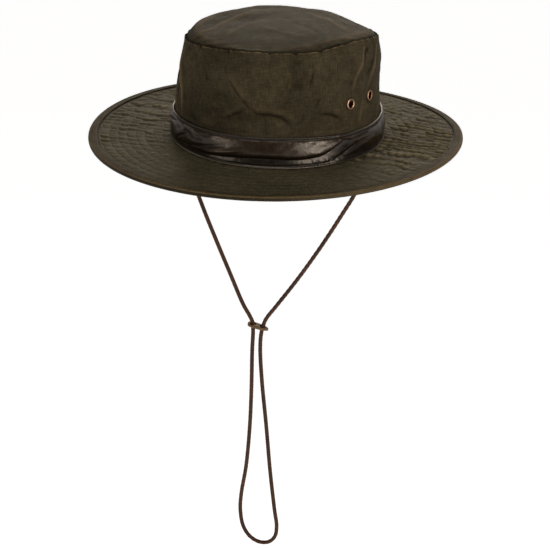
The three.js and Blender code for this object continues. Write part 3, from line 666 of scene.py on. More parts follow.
def braided(name, course, material):
    """A round braid along a course, closed flat at each end."""
    tangent = unit(np.gradient(course, axis=0))
    side = np.array([0.0, 1, 0])
    first = unit(side - tangent * (tangent @ side)[:, None])
    second = np.cross(tangent, first)
    turn = angles(CORD_SIDES)[None]
    run = (np.arange(len(course)) * CORD_STEP)[:, None] * TAU / BRAID_PITCH
    relief = np.maximum(np.cos(turn * BRAID_STRANDS + run), np.cos(turn * BRAID_STRANDS - run))
    radius = CORD_RADIUS + BRAID_RELIEF * (relief - BRAID_MEAN)
    spoke = first[:, None] * np.cos(turn)[..., None] + second[:, None] * np.sin(turn)[..., None]
    return shell(name, course[:, None] + spoke * radius[..., None], material, course[[0, -1]])


course, cord_length = smooth_course(CORD_COURSE, CORD_STEP)
cord = braided("chin_cord_braid", course, CORD)
dress(cord, "chin_cord")

# Crown wall: the outside with its folds, the shoulder, the seam allowance and the inside
WALL_COUNT, WALL_ROWS, WALL_SHARE = 480, 100, 0.93
LINING_ROWS, LINING_SHARE = 44, 0.84
# Rings of the shoulder: how far out and up from the seam, and their share of the seam's pucker
SHOULDER = ((1.35, -3.2, 0.35), (1.05, -1.3, 0.35), (0.6, -0.62, 0.3), (0.15, -1.35, 0))
# Rows of the shoulder, the first of them that gets the painted shade of the seam, and the rise of a pucker
# there
SHOULDER_ROWS, SHOULDER_SHADE_ROW, SHOULDER_RISE = 20, 15, 0.9
# Rings of the seam allowance inside the shoulder: how far out and up from the seam
ALLOWANCE = ((0.15, -1.9), (0.15, -2.35), (-3.2, -2.35), (-3.2, -3.7), (-1, -5.2))
# How high the seam's puckers stand on the wall, and how far down it they reach
PUCKER_HEIGHT, PUCKER_FALL = 0.32, 9
# Where the seam is pinched in: place and half width
PINCHES = ((13, 1.6), (43, 2.2), (-35, 1.8), (-12, 1.2), (28, 1.2), (60, 1.6), (150, 2), (-120, 2))
PINCH_DEPTH = 3
# The share of the main folds in the painted wear and highlight on ridges and the painted shade in hollows.
# Fine creases count in full
FOLD_PAINT_SHARE = 0.2
# How dark the painted shade in the seam is
SEAM_SHADE = 0.95


def seam_pucker(t):
    """How the cloth swells between the stitches of the seam, about -1 to 1, with a few pinched places."""
    swell = uneven(spread(HALF_WIDTH * np.sin(t), HALF_LENGTH * np.cos(t), 0 * t), SEAM_WAVES)
    return swell - PINCH_DEPTH * sum(bell(beside(t, place), width) for place, width in PINCHES)


t = angles(WALL_COUNT)[None]
shares = np.linspace(0, WALL_SHARE, WALL_ROWS)[:, None]
outside = wall_point(t, shares, 0, fine=True)
full = seam_level(t) - level(FOOT_LEVEL, t)
rise = GAP + (full - GAP) * shares
pucker = seam_pucker(t)
outward = oval(t, 1, 0) - oval(t, 0, 0)
outside += outward * (PUCKER_HEIGHT * pucker * bell(full - rise, PUCKER_FALL))[..., None]
controls = [outside[-6], outside[-1]]
for out, up, share in SHOULDER:
    controls.append(seam_point(t[0], out + share * pucker[0], up + SHOULDER_RISE * share * pucker[0]))
shoulder = sampled(controls, np.linspace(1, 5, SHOULDER_ROWS + 1)[1:])
allowance = np.array([seam_point(t[0], out, up) for out, up in ALLOWANCE])
lining = wall_point(t, np.linspace(LINING_SHARE, 0, LINING_ROWS)[:, None], -CLOTH)
rings = np.concatenate([outside, shoulder, allowance, lining])
push = crown_push(t, rise) * FOLD_PAINT_SHARE + crown_detail(t, rise)
ridge = push - blurred(push, 4, 4)
paler_share = np.max([line_push(*line, t, rise) for line in WEAR_AND_HIGHLIGHT_LINES], 0)
rub, deep = np.zeros((2, *rings.shape[:2]))
# Paler on ridges and along the listed lines, partly wear and partly painted highlight
rub[:WALL_ROWS] = np.maximum(passing(ridge, 0.4, 0.06, 0.2), paler_share)
rows = np.arange(SHOULDER_ROWS)
# A thin painted highlight on the shoulder below the seam
rim_highlight = 0.65 * smoothstep(rows, 8, 10) * (1 - smoothstep(rows, 12, 14))
rub[WALL_ROWS:WALL_ROWS + SHOULDER_ROWS] = rim_highlight[:, None] * np.clip(0.5 + 0.9 * pucker, 0, 1)
# Painted shade in the crease hollows and in the seam
deep[:WALL_ROWS] = passing(-ridge, 1.5, 0.08, 0.75)
deep[WALL_ROWS + SHOULDER_SHADE_ROW:-LINING_ROWS] = SEAM_SHADE
crown = shell("crown_side_cloth", rings, WAXED, rub=rub, deep=deep)


def eyelet_seat(place, up):
    """Where an eyelet sits on the wall, as a matrix whose Z axis faces out."""
    near = math.radians(place)
    reach = EYELET_HOLE_RADIUS - 0.5
    step = reach / HALF_LENGTH
    middle, left, right, above, below = (
        wall_point_at_rise(np.array(near + turn), np.array(up + rise), 0)
        for turn, rise in ((0, 0), (step, 0), (-step, 0), (0, reach), (0, -reach))
    )
    outward = Vector(unit(np.cross(left - right, above - below)))
    return Matrix.Translation(Vector(middle) * MM) @ outward.to_track_quat("Z", "Y").to_matrix().to_4x4()


def pierce(piece, seats, radius, depth=14, sides=32):
    """Cuts a round hole through a piece at each seat."""
    drill = bmesh.new()
    for seat in seats:
        size = {"radius1": radius * MM, "radius2": radius * MM, "depth": depth * MM}
        bmesh.ops.create_cone(drill, cap_ends=True, segments=sides, matrix=seat, **size)
    mesh = bpy.data.meshes.new("drill")
    drill.to_mesh(mesh)
    drill.free()
    tool = add("drill", mesh)
    cut = piece.modifiers.new("holes", "BOOLEAN")
    cut.object, cut.operation, cut.solver = tool, "DIFFERENCE", "MANIFOLD"
    graph = bpy.context.evaluated_depsgraph_get()
    cut_piece = piece.evaluated_get(graph)
    done = bpy.data.meshes.new_from_object(cut_piece, preserve_all_data_layers=True, depsgraph=graph)
    piece.modifiers.clear()
    piece.data = done
    bpy.data.objects.remove(tool)


pierce(crown, [eyelet_seat(place, up) for _, place, up in EYELETS], EYELET_HOLE_RADIUS)
dress(crown, "crown_side")

# Crown tip: the domed panel, pulled down into the seam at its rim
TIP_HALF_WIDTH, TIP_HALF_LENGTH = HALF_WIDTH - SEAM_INSET - GAP / 2, HALF_LENGTH - SEAM_INSET - GAP / 2
# Levels of the panel's cut edge below the seam
TIP_RIM = (-2.05, -1.8, -1.55)
TOP_ROWS, UNDER_ROWS = 64, 24
# Painted shade on the panel in its first rows beside the seam, and on all of it below the top
TIP_RIM_SHADE, TIP_UNDER_SHADE = (0.9, 0.6, 0.15, 0, 0, 0), 0.3
# Rows at the rim without painted wear and highlight, those with little of it, and rows at the centre without
# the painted shade line
TIP_CLEAN_ROWS, TIP_PALE_ROWS, TIP_CENTRE_ROWS = 4, 8, 6


def tip_point(t, share, down, fine=False):
    """Points a way down from the top panel, at a share of the way out from its centre."""
    x = TIP_HALF_WIDTH * share * np.sin(t) + SEAM_DRIFT
    y = -TIP_HALF_LENGTH * share * np.cos(t)
    push = sum(fold(y - fold_y, x - fold_x, *rest) for fold_x, fold_y, *rest in TIP_FOLDS)
    push = push * (1 - smoothstep(share, 0.8, 1))
    if fine:
        p = spread(x, y, 0 * x)
        creases = sum(flat_push(*crease, x, y) for crease in TIP_CREASES)
        push = push + creases * (1 - smoothstep(share, 0.84, 0.95)) - 1.15 * smoothstep(share, 0.968, 0.992)
        push = push + uneven(p, TIP_WAVES) * (1 - smoothstep(share, 0.9, 1))
        rim_band = smoothstep(share, 0.86, 0.96) * (1 - smoothstep(share, 0.97, 1))
        push = push + uneven(p, TIP_RIM_WAVES) * rim_band
        push = push + 0.25 * seam_pucker(t) * smoothstep(share, 0.93, 1)
    rim = level(SEAM_LEVEL, t)
    z = rim + (1 - share) * (SEAM_LEVEL[0] - rim) + TIP_DOME * (1 - share ** TIP_DOME_POWER) + push
    swell = bell(share - SWELL_SHARE, SWELL_REACH) * bell(beside(t, SWELL_PLACE), arc(SWELL_WIDTH))
    z = z + seam_pull(t) * smoothstep(share, 0.9, 1) + SWELL_HEIGHT * swell
    return spread(x, y, z - down)


below = tip_point(t, np.linspace(0.02, 0.96, UNDER_ROWS)[:, None], TIP_CLOTH)
rim = np.array([seam_point(t[0], -GAP / 2, up) for up in TIP_RIM])
above = tip_point(t, (1 - np.linspace(0.11, 0.99, TOP_ROWS) ** 2)[:, None], 0, fine=True)
rings = np.concatenate([below, rim, above])
centre = np.array(0.0)
poles = np.array([tip_point(centre, centre, TIP_CLOTH), tip_point(centre, centre, 0, fine=True)])
rub, deep = np.zeros((2, *rings.shape[:2]))
deep[:-TOP_ROWS] = TIP_UNDER_SHADE
above_x, above_y, above_z = np.moveaxis(above, -1, 0)
ridge = above_z - blurred(above_z, 6, 3)
rows = np.arange(TOP_ROWS)[:, None]
# Paler on the ridges, in a ring inside the rim and along the listed lines, partly wear and partly painted
# highlight
top_rub = passing(ridge, 1.5, 0.08, 0.5)
top_rub[:TIP_PALE_ROWS] *= 0.2
top_rub += 0.14 * smoothstep(rows, 3, 7) * (1 - smoothstep(rows, 8, 28))
for line in TIP_WEAR_AND_HIGHLIGHT_LINES:
    top_rub = np.maximum(top_rub, flat_push(*line, above_x, above_y))
rub[-TOP_ROWS:] = np.clip(top_rub, 0, 0.7) * (rows >= TIP_CLEAN_ROWS)
# Painted shade in the hollows, beside the seam and along a crease
top_deep = passing(-ridge, 1.5, 0.08, 0.6)
top_deep[:len(TIP_RIM_SHADE)] = np.array(TIP_RIM_SHADE)[:, None]
streak_shade = flat_push(*TIP_SHADE_LINE, above_x, above_y) * (rows < TOP_ROWS - TIP_CENTRE_ROWS)
deep[-TOP_ROWS:] = np.maximum(top_deep, streak_shade)
tip = shell("crown_tip_cloth", rings, WAXED_TIP, poles, rub=rub, deep=deep)
dress(tip, "crown_tip")

# Hat band: leather with a folded bulge over its lower margin
BAND_COUNT, BAND_INNER_ROWS = 720, 6
FOOT_ROWS, HEAD_ROWS = [0, 0.12, 0.4, 0.75, 1.05, 1.35], [23.3, 23.65, 23.9, 24]
BAND_ROWS = np.concatenate([FOOT_ROWS, np.linspace(1.7, 22.9, 42), HEAD_ROWS])
# Rows of the two seams, and the grooves that their threads lie in: row, half width and depth
LOWER_SEAM, UPPER_SEAM = 1.9, 22.1
SEAM_GROOVES = ((UPPER_SEAM, 0.55, 0.45), (LOWER_SEAM, 0.5, 0.25))
# Where the leather is gathered over the lower seam
GATHER_PLACE, GATHER_WIDTH = 42, 6
# Rows of the two cut edges that carry the painted highlight, and how far the edges turn in
LOWER_EDGE_ROWS, UPPER_EDGE_ROWS, EDGE_TURN = 4, 2, 0.5
# Creases of the band: height, half width, and the places and rises that the line runs through
BAND_CREASES = [
    (-1.2, 1.5, [(-46, 4.5), (-39, 5.3), (-24.8, 9.8), (-16, 13), (-9, 15.4)]),
    (1.0, 1.8, [(-24, 5.5), (-12.8, 9.2), (-2.8, 13), (7, 17.1)]),
    (1.1, 0.9, [(-51, 7), (-46, 10.4), (-42.8, 12.8), (-37.8, 16.2), (-34, 17)]),
    (-0.9, 0.9, [(-49, 6), (-42, 10.6), (-36, 14.6)]),
    (1.0, 0.8, [(-46, 6.4), (-43.8, 7.7), (-39, 11.4), (-34, 13.8)]),
    (-0.8, 0.8, [(-44, 5.6), (-38.6, 9.4), (-33, 12.4)]),
    (0.9, 0.8, [(-43.6, 4.8), (-36.8, 10.4), (-32, 12.8)]),
    (-0.7, 1.2, [(-66, 14), (-58, 16), (-50, 19)]),
    (-0.5, 1.6, [(-40, 20), (-33, 18.4), (-27, 14)]),
    (0.8, 1.4, [(-76, 12), (-68, 15), (-60, 19)]),
    (0.45, 1.4, [(-30, 20), (-22, 18), (-14, 19)]),
    (-0.7, 0.9, [(50.8, 5.3), (56, 8), (61.8, 11.7), (69, 13.8), (77, 15.1)]),
    (0.6, 1.2, [(53, 4), (60, 6.6), (68, 9.6), (77, 12), (84, 13)]),
    (-0.6, 0.9, [(60, 17.5), (69, 18.6), (79, 19.6)]),
    (0.7, 1.4, [(86, 6), (91, 11), (93, 17)]),
    (-0.5, 1.2, [(120, 8), (140, 10), (160, 7)]),
    (-0.5, 1.2, [(-150, 14), (-135, 12), (-118, 15)]),
    (0.4, 1.2, [(-175, 9), (-160, 11), (-148, 8)]),
]
# How strong the painted highlight on the cut edges of the band is, partly the pale cut leather: place, lower
# edge and upper edge
EDGE_HIGHLIGHT_COURSE = [
    (-180, 0.5, 0.3), (-90, 0.8, 0.35), (-75, 1, 0.4), (-50, 0.9, 0.15), (-38, 0.75, 0), (-5, 0.45, 0),
    (30, 0.6, 0), (45, 0.3, 0), (62, 0.3, 0.2), (75, 0.8, 0.9), (90, 1, 1), (110, 0.8, 0.6), (180, 0.5, 0.3),
]


def band_height(t, row):
    top = read_table(BAND_COURSE, place_of(t))[1]
    return GAP + row / BAND_HEIGHT * (top - GAP)


def band_point(t, row):
    """A point on the outside of the band, and how far its folds lift it there."""
    place = place_of(t)
    height = band_height(t, row)
    share, _, crease = read_table(BAND_COURSE, place)
    over = BAND_CREASE_ROW + (row - crease) * (BAND_HEIGHT - BAND_CREASE_ROW) / (BAND_HEIGHT - crease)
    bent = np.where(row < crease, BAND_CREASE_ROW * row / crease, over)
    flat, full = read_table(BAND_SECTIONS, bent)
    lift = sum(line_push(*line, t, height) for line in BAND_CREASES)
    p = spread(MEAN_RADIUS * np.sin(t), MEAN_RADIUS * np.cos(t), 2.0 * row)
    lift = lift + uneven(p, BAND_WAVES) * smoothstep(row, 1.5, 4) * (1 - smoothstep(row, 20, 22))
    tuck = uneven(p * [1, 1, 0.1], BAND_TUCKS)
    gathered = 0.05 + 0.45 * bell(place - GATHER_PLACE, GATHER_WIDTH)
    lift = lift + tuck * (0.08 * bell(row - 21, 1.6) + gathered * bell(row - 4.2, 1.7))
    for seam, width, depth in SEAM_GROOVES:
        lift = lift - depth * bell(row - seam, width)
    out = np.maximum(flat + (full - flat) * share + lift, BAND_LEAST)
    return wall_point_at_rise(t, height, out), lift


t = angles(BAND_COUNT)[None]
rows = BAND_ROWS[:, None]
outer, lift = band_point(t, rows)
count = len(outer)
inward = oval(t[0], 0, 0) - oval(t[0], 1, 0)
outer[[0, -1]] += inward * EDGE_TURN
inner_rows = np.linspace(BAND_HEIGHT, 0, BAND_INNER_ROWS)[:, None]
inner = wall_point_at_rise(t, band_height(t, inner_rows), BAND_CLEARANCE)
rings = np.concatenate([outer, inner])
rub, deep, edge = np.zeros((3, *rings.shape[:2]))
ridge = lift - blurred(lift, 4, 2)
# Painted highlight on the crease ridges, partly wear
rub[:count] = passing(ridge, 0.5, 0, 0.3)
place = place_of(t[0])
share, _, crease = read_table(BAND_COURSE, place)
# Painted shade under the bulge's crease, over the lower margin, in the hollows, in the seam grooves and along
# the top edge
shadow = 0.9 * bell(rows - crease + 0.6, 1.3) * smoothstep(share, 0.2, 0.7)
margin_shade = 0.8 * (1 - smoothstep(rows, crease - 1, crease)) * smoothstep(rows, 1.2, 1.8)
hollow_shade = passing(-ridge, 1.2, 0, 0.8)
groove_shade = 0.95 * bell(rows - LOWER_SEAM, 0.5) + 0.8 * bell(rows - UPPER_SEAM, 0.4)
groove_shade += 0.7 * smoothstep(rows, 22.6, 23.1)
deep[:count] = np.clip(np.maximum(np.maximum(hollow_shade, shadow), margin_shade) + groove_shade, 0, 0.95)
# Painted highlight along the cut edges, partly the pale cut leather
lower_edge_highlight, upper_edge_highlight = read_table(EDGE_HIGHLIGHT_COURSE, place)
edge[:LOWER_EDGE_ROWS] = lower_edge_highlight
edge[count - UPPER_EDGE_ROWS:count] = 0.7 * upper_edge_highlight
band = shell("hat_band_leather", rings, BAND_LEATHER, rub=rub, deep=deep, edge=edge)
dress(band, "hat_band")

# Brim: quilted cloth, sunk at each stitch row and puckered between the rows
BRIM_COUNT, TOP_CHANNEL_ROWS, UNDER_CHANNEL_ROWS = 860, 8, 4
# Channels narrower than this are nearly flat. Shares of the puckers' height on the top, and of all below
LEAST_CHANNEL, PUCKER_LIFT, UNDER_LIFT = 4, 1.4, 0.6
STITCH_REACHES = [BAND_EDGE + (k + 1) * STITCH_SPACING for k in range(STITCH_ROWS)]
TAPE_EDGE = BRIM_REACH - TAPE_WIDTH
# How strong the puckers are round the oval
PUCKER_COURSE = [
    (-180, 0.6), (-150, 0.8), (-115, 1), (-80, 0.9), (-60, 0.75), (-40, 0.4), (-10, 0.22), (20, 0.24),
    (42, 0.36), (60, 0.9), (80, 1.45), (110, 1.45), (150, 0.9), (180, 0.6),
]
# Puckers run mostly from side to side. How far a line turns from the X axis at each place, in degrees
PUCKER_TURN = [
    (-180, 0), (-120, -16), (-90, -6), (-55, -4), (0, -12), (55, -17), (90, -12), (125, -18), (180, 0),
]
# A line of puckers has this many cells, and the line across the whole brim is this long
PUCKER_CELLS, PUCKER_SPAN = 6000, 400
# Gaps and half widths of the puckers that all channels share, of a channel's own, and of those that run
# outwards at the front and back
SHARED_PUCKERS = ((8, 13), (1.5, 2.4))
OWN_PUCKERS = ((8, 14.5), (1.2, 2.1))
ROUND_PUCKERS = ((7, 12.5), (1.5, 2.6))
# The weakest pucker, and the hollow beside its crest: depth, distance and half width
LEAST_PUCKER, HOLLOW_DEPTH, HOLLOW_PLACE, HOLLOW_WIDTH = 0.45, 0.75, 1.7, 1.2
# How much of a pucker is the channel's own, how much is shared, and how far it bows between the stitch rows
OWN_PART, SHARED_PART, PUCKER_BOW = 0.6, 0.65, 1.3
# Seeds of the draws for the underside. The top's are one more, or SIDE_SEEDS more where each channel has one
WOBBLE_SEED, SHARED_SEED, SHIFT_SEED, OWN_SEED, ROUND_SEED, SIDE_SEEDS = 61, 70, 80, 100, 200, 50
# How the lines of puckers waver: height, number of waves, longest and shortest
WOBBLE = (2.2, 14, 70, 24)
# How far a channel's own puckers are shifted, and how far and how long they sway
OWN_SHIFT, OWN_SWAY, OWN_SWAY_LENGTH = 3, 1.6, 23
# How much of the plain quilting the puckers take up, and how weak they are in the narrow channel by the tape
QUILT_TAKEN, NARROW_PART = 0.45, 0.4


def pucker_line(seed, length, gaps, width):
    """Random puckers along a line: a narrow crest with a hollow on its near side, and where each crest is."""
    made = np.random.default_rng(seed)
    where = np.arange(PUCKER_CELLS) / PUCKER_CELLS * length
    both, at = np.zeros((2, PUCKER_CELLS)), made.uniform(0, gaps[1])
    while at < length:
        far = (where - at) / made.uniform(*width)
        strong = made.uniform(LEAST_PUCKER, 1.0)
        ridge = bell(far, 1) - HOLLOW_DEPTH * bell(far + HOLLOW_PLACE, HOLLOW_WIDTH)
        both += strong * np.array([ridge, bell(far, 0.9)])
        at += made.uniform(*gaps)
    return both


def quilt_section(v, stitched, wide):
    """Height of the plain quilting across a channel, sunk at its stitch rows and puffed between them."""
    sunk = np.where(v < 0.5, stitched, wide) * STITCH_SINK
    puff = QUILT_PUFF if wide else NARROW_PUFF
    return (sunk + puff) * np.sin(math.pi * v) ** 0.6 - sunk


def quilt(t, reach, upper):
    """Height of the quilted surface over the plain cloth, its puckers alone and their crests."""
    t, reach = np.broadcast_arrays(t, reach)
    strength, turn = read_table(PUCKER_COURSE, place_of(t)), np.radians(read_table(PUCKER_TURN, place_of(t)))
    x, y, _ = np.moveaxis(oval(t, reach - CLOTH, 0), -1, 0)
    sideways = np.abs(np.sin(t)) ** 1.5
    wobble = uneven(spread(x, y, 0 * x), [(*WOBBLE, WOBBLE_SEED + upper)])
    straight = y * np.cos(turn) - x * np.sin(turn) + wobble
    cells, cell_round = np.arange(PUCKER_CELLS), t / TAU % 1 * PUCKER_CELLS
    base, lumps, crests = np.zeros((3, *t.shape))
    edges = [BAND_EDGE] + STITCH_REACHES + [TAPE_EDGE]
    shared = pucker_line(SHARED_SEED + upper, PUCKER_SPAN, *SHARED_PUCKERS)
    shift = np.random.default_rng(SHIFT_SEED + upper).uniform(-1, 1, (len(edges), 2))
    for channel, (low, high) in enumerate(zip(edges, edges[1:])):
        inside = (reach >= low) & (reach < high)
        v = np.clip((reach - low) / (high - low), 0, 1)
        wide = high - low > LEAST_CHANNEL
        swell = np.sin(math.pi * v)
        across = straight + PUCKER_BOW * swell
        sway = OWN_SWAY * np.sin(x / OWN_SWAY_LENGTH + 9 * shift[channel, 1])
        across_own = across + OWN_SHIFT * shift[channel, 0] + sway
        own_seed, round_seed = (seed + channel + SIDE_SEEDS * upper for seed in (OWN_SEED, ROUND_SEED))
        own = pucker_line(own_seed, PUCKER_SPAN, *OWN_PUCKERS)
        length = TAU * (MEAN_RADIUS - CLOTH + (low + high) / 2)
        around = pucker_line(round_seed, length, *ROUND_PUCKERS)
        cell, cell_own = ((far / PUCKER_SPAN + 0.5) * PUCKER_CELLS for far in (across, across_own))
        ridge, crest = (
            sideways * (OWN_PART * np.interp(cell_own, cells, a) + SHARED_PART * np.interp(cell, cells, b))
            + (1 - sideways) * np.interp(cell_round, cells, c)
            for a, b, c in zip(own, shared, around)
        )
        held = strength * (0.5 + 0.5 * swell ** 0.7) * (1 if wide else NARROW_PART)
        plain = quilt_section(v, channel > 0, wide)
        base = np.where(inside, plain * (1 - QUILT_TAKEN * np.minimum(strength, 1)), base)
        lumps = np.where(inside, ridge * held, lumps)
        crests = np.where(inside, crest * held, crests)
    return base, lumps, crests


def brim_rows(per_channel):
    edges = [BAND_EDGE] + STITCH_REACHES
    eased = (1 - np.cos(np.linspace(0, math.pi, per_channel, endpoint=False))) / 2
    channels = [low + (high - low) * eased for low, high in zip(edges, edges[1:])]
    return np.concatenate([[0, 2.5], *channels, [edges[-1], edges[-1] + 0.8, TAPE_EDGE - 1.2]])[:, None]


t = angles(BRIM_COUNT)[None]
rows, rows_below = brim_rows(TOP_CHANNEL_ROWS), brim_rows(UNDER_CHANNEL_ROWS)[::-1]
base, lumps, crests = quilt(t, rows, True)
base_below, lumps_below, crests_below = quilt(t, rows_below, False)
top = brim_point(t, rows, BRIM_HALF + base + PUCKER_LIFT * lumps)
bottom = brim_point(t, rows_below, -BRIM_HALF - UNDER_LIFT * (base_below + lumps_below))
under_tape = TAPE_EDGE - 0.2
ends = [(under_tape, 1), (BRIM_EDGE, 1), (BRIM_EDGE, -1), (under_tape, -1)]
edge = [brim_point(t[0], reach, side * BRIM_EDGE_HALF) for reach, side in ends]
rings = np.concatenate([top, edge, bottom])
count = len(top)
rub, deep = np.zeros((2, *rings.shape[:2]))
# Painted highlight on the pucker crests, partly wear
rub[:count] = passing(crests ** 1.6, 0.6, 0.04, 0.5)
rub[-len(bottom):] = passing(crests_below, 0.4, 0.05, 0.4)
# Painted shade in the hollows beside the crests, at the stitch rows and along the tape's inner edge
deep[:count] = passing(-lumps, 0.6, 0.05, 0.45) + 0.2 * passing(-base, 2.2, 0.2, 1)
deep[count - 1] = 0.2
deep[count] = 0.85
brim = shell("brim_cloth", rings, WAXED_BRIM, rub=rub, deep=deep)
dress(brim, "brim")

# Brim binding: tape folded over the edge. Its section: how far in from the edge, and up
TAPE_SECTION = [
    (7.5, 1.15), (7.5, 1.6), (7.25, 2.0), (3.5, 2.1), (0.7, 1.6), (0, 0), (0.7, -1.6), (3.5, -2.1),
    (7.25, -2), (7.5, -1.6), (7.5, -1.15),
]
TAPE_COUNT, TAPE_ROWS = 720, 41
# Rows of the tape: its inner hem, the slope to its lip, the lip, and the painted shade from the lip down
HEM_ROWS, SLOPE_ROWS, LIP_ROWS, SHADE_ROWS = slice(2, 6), slice(14, 18), slice(18, 22), slice(18, 27)
# Painted wear and highlight on the hem, painted highlight on the slope to the lip, and how dark the painted
# shade below the lip is
HEM_WEAR_AND_HIGHLIGHT, SLOPE_HIGHLIGHT, LIP_SHADE = 0.15, (0.2, 0.4, 0.55, 0.4), 0.65
# How pale the tape's outer edge is painted, partly wear and partly painted highlight, which also lessens the
# painted shade below it: place and share
TAPE_WEAR_AND_HIGHLIGHT = [(-180, 0.3), (-100, 0.2), (-60, 0), (10, 0.05), (40, 0.4), (80, 0.45), (110, 0.3), (180, 0.3)]
t = angles(TAPE_COUNT)
wave = uneven(spread(HALF_WIDTH * np.sin(t), HALF_LENGTH * np.cos(t), 0 * t), TAPE_WAVES)
controls = [
    brim_point(t, BRIM_REACH - inward - wave * (inward > 5), up * (1 + 0.5 * wave * (inward > 1)))
    for inward, up in TAPE_SECTION
]
outside = sampled(controls, np.linspace(0, len(controls) - 1, TAPE_ROWS))
rings = np.concatenate([outside, [brim_point(t, BRIM_REACH - TAPE_CLOTH, up) for up in (-1.1, 1.1)]])
rub, deep = np.zeros((2, *rings.shape[:2]))
paler_share = read_table(TAPE_WEAR_AND_HIGHLIGHT, place_of(t))
rub[HEM_ROWS] = HEM_WEAR_AND_HIGHLIGHT
rub[SLOPE_ROWS] = np.array(SLOPE_HIGHLIGHT)[:, None]
rub[LIP_ROWS] = paler_share
deep[SHADE_ROWS] = LIP_SHADE - paler_share
tape = shell("brim_binding_tape", rings, TAPE, rub=rub, deep=deep)
dress(tape, "brim_binding")

# Sections of a stitch, in shares of its length and thickness: along, thickness and rise
STITCH_SECTIONS = np.array([(-0.5, 0.4, -0.5), (-0.32, 0.95, 0.02), (0.32, 0.95, 0.02), (0.5, 0.4, -0.5)])
STITCH_THICK, STITCH_LIFT = 0.42, 0.1
STITCH_POINTS, BAND_STITCH_POINTS = 900, 1200
TAPE_SEAM, TAPE_SEAM_UP = BRIM_REACH - 6.2, 2.04


def stitches(name, lines, material, pitch=3.2, length=2.5, sides=5):
    """Short threads along closed lines, each with its outward directions, arched and sunk at their ends."""
    found = []
    for line, outward in lines:
        loop, ups = (np.concatenate([values, values[:1]]) for values in (line, outward))
        far = np.concatenate([[0], np.cumsum(np.linalg.norm(np.diff(loop, axis=0), axis=1))])
        count = int(far[-1] / pitch)
        middle = (np.arange(count) + 0.5) * far[-1] / count

        def read(values, where):
            return spread(*(np.interp(where % far[-1], far, values[:, k]) for k in range(3)))

        where = middle[:, None] + STITCH_SECTIONS[:, 0] * length
        out = unit(read(ups, where))
        along = unit(read(loop, middle + 0.5) - read(loop, middle - 0.5))
        aside = np.cross(along[:, None], out)
        centre = read(loop, where) + out * (STITCH_LIFT + STITCH_SECTIONS[:, 2, None] * STITCH_THICK)
        turn = angles(sides)[:, None]
        spoke = out[:, :, None] * np.sin(turn) + aside[:, :, None] * np.cos(turn)
        found.append(centre[:, :, None] + spoke * (STITCH_SECTIONS[:, 1] * STITCH_THICK / 2)[:, None, None])
    rings = np.concatenate(found)
    size = len(STITCH_SECTIONS) * sides
    start = np.arange(len(rings))[:, None, None] * size
    a, i = np.arange(len(STITCH_SECTIONS) - 1)[:, None] * sides, np.arange(sides)
    j = (i + 1) % sides
    quads = spread(start + a + i, start + a + j, start + a + sides + j, start + a + sides + i).reshape(-1, 4)
    caps = np.concatenate([start[:, 0] + i[::-1], start[:, 0] + size - sides + i])
    mesh = bpy.data.meshes.new(name)
    mesh.from_pydata((rings.reshape(-1, 3) * MM).tolist(), [], quads.tolist() + caps.tolist())
    return add_smooth(name, mesh, material)


def facing(line, aside):
    """A closed line with the direction that the cloth faces along it, from a vector across the line."""
    return line, unit(np.cross(aside, np.roll(line, -1, 0) - np.roll(line, 1, 0)))


def brim_line(reach, up, side):
    t = angles(STITCH_POINTS)
    line = brim_point(t, reach, up)
    return facing(line, (brim_point(t, reach + 1, up) - line) * side)


def band_line(row):
    t = angles(BAND_STITCH_POINTS)
    line, above, below = (band_point(t, row + up)[0] for up in (0, 0.9, -0.9))
    return facing(line, below - above)


lines = [brim_line(reach, BRIM_HALF - STITCH_SINK, 1) for reach in STITCH_REACHES]
dress(stitches("brim_stitches_top", lines, BROWN_THREAD))
lines = [brim_line(reach, UNDER_LIFT * STITCH_SINK - BRIM_HALF, -1) for reach in STITCH_REACHES]
dress(stitches("brim_stitches_underside", lines, BROWN_THREAD, sides=4))
lines = [brim_line(TAPE_SEAM, side * TAPE_SEAM_UP, side) for side in (1, -1)]
dress(stitches("binding_stitches", lines, BROWN_THREAD))
lines = [band_line(LOWER_SEAM), band_line(UPPER_SEAM + 0.1)]
dress(stitches("hat_band_stitches", lines, DARK_THREAD, pitch=2.9, length=2.2))

# Eyelets: rings turned from a smooth loop of radius and height
EYELET_PROFILE = [
    (2.95, -3.1), (4.3, -3.15), (4.4, -2.9), (3.5, -2.72), (3.35, -2.2), (3.35, 0.1), (3.5, 0.4), (4.4, 0.42),
    (4.6, 0.6), (4.4, 1.02), (3.95, 1.25), (3.5, 1.15), (3.15, 0.75), (2.98, 0), (2.95, -2.2),
]
EYELET_SIDES, EYELET_STEPS = 48, 6


def lathe(name, profile, seat, material):
    turn = angles(EYELET_SIDES)
    loop = [spread(radius * np.cos(turn), radius * np.sin(turn), up) for radius, up in profile]
    rows = np.linspace(1, len(loop) + 1, EYELET_STEPS * len(loop) + 1)[:-1]
    rings = sampled(loop[-1:] + loop + loop[:2], rows)
    radius, up = np.linalg.norm(rings[..., :2], axis=-1), rings[..., 2]
    # Painted shade inside the bore and on the flange below the cloth
    bore_shade = (1 - smoothstep(radius, 3.1, 3.3)) * (1 - smoothstep(up, 0.5, 0.9))
    made = shell(name, rings, material, deep=np.maximum(bore_shade, up < -1))
    made.data.transform(seat)
    return made


for node, place, up in EYELETS:
    dress(lathe(node + "_brass", EYELET_PROFILE, eyelet_seat(place, up), BRASS), node)

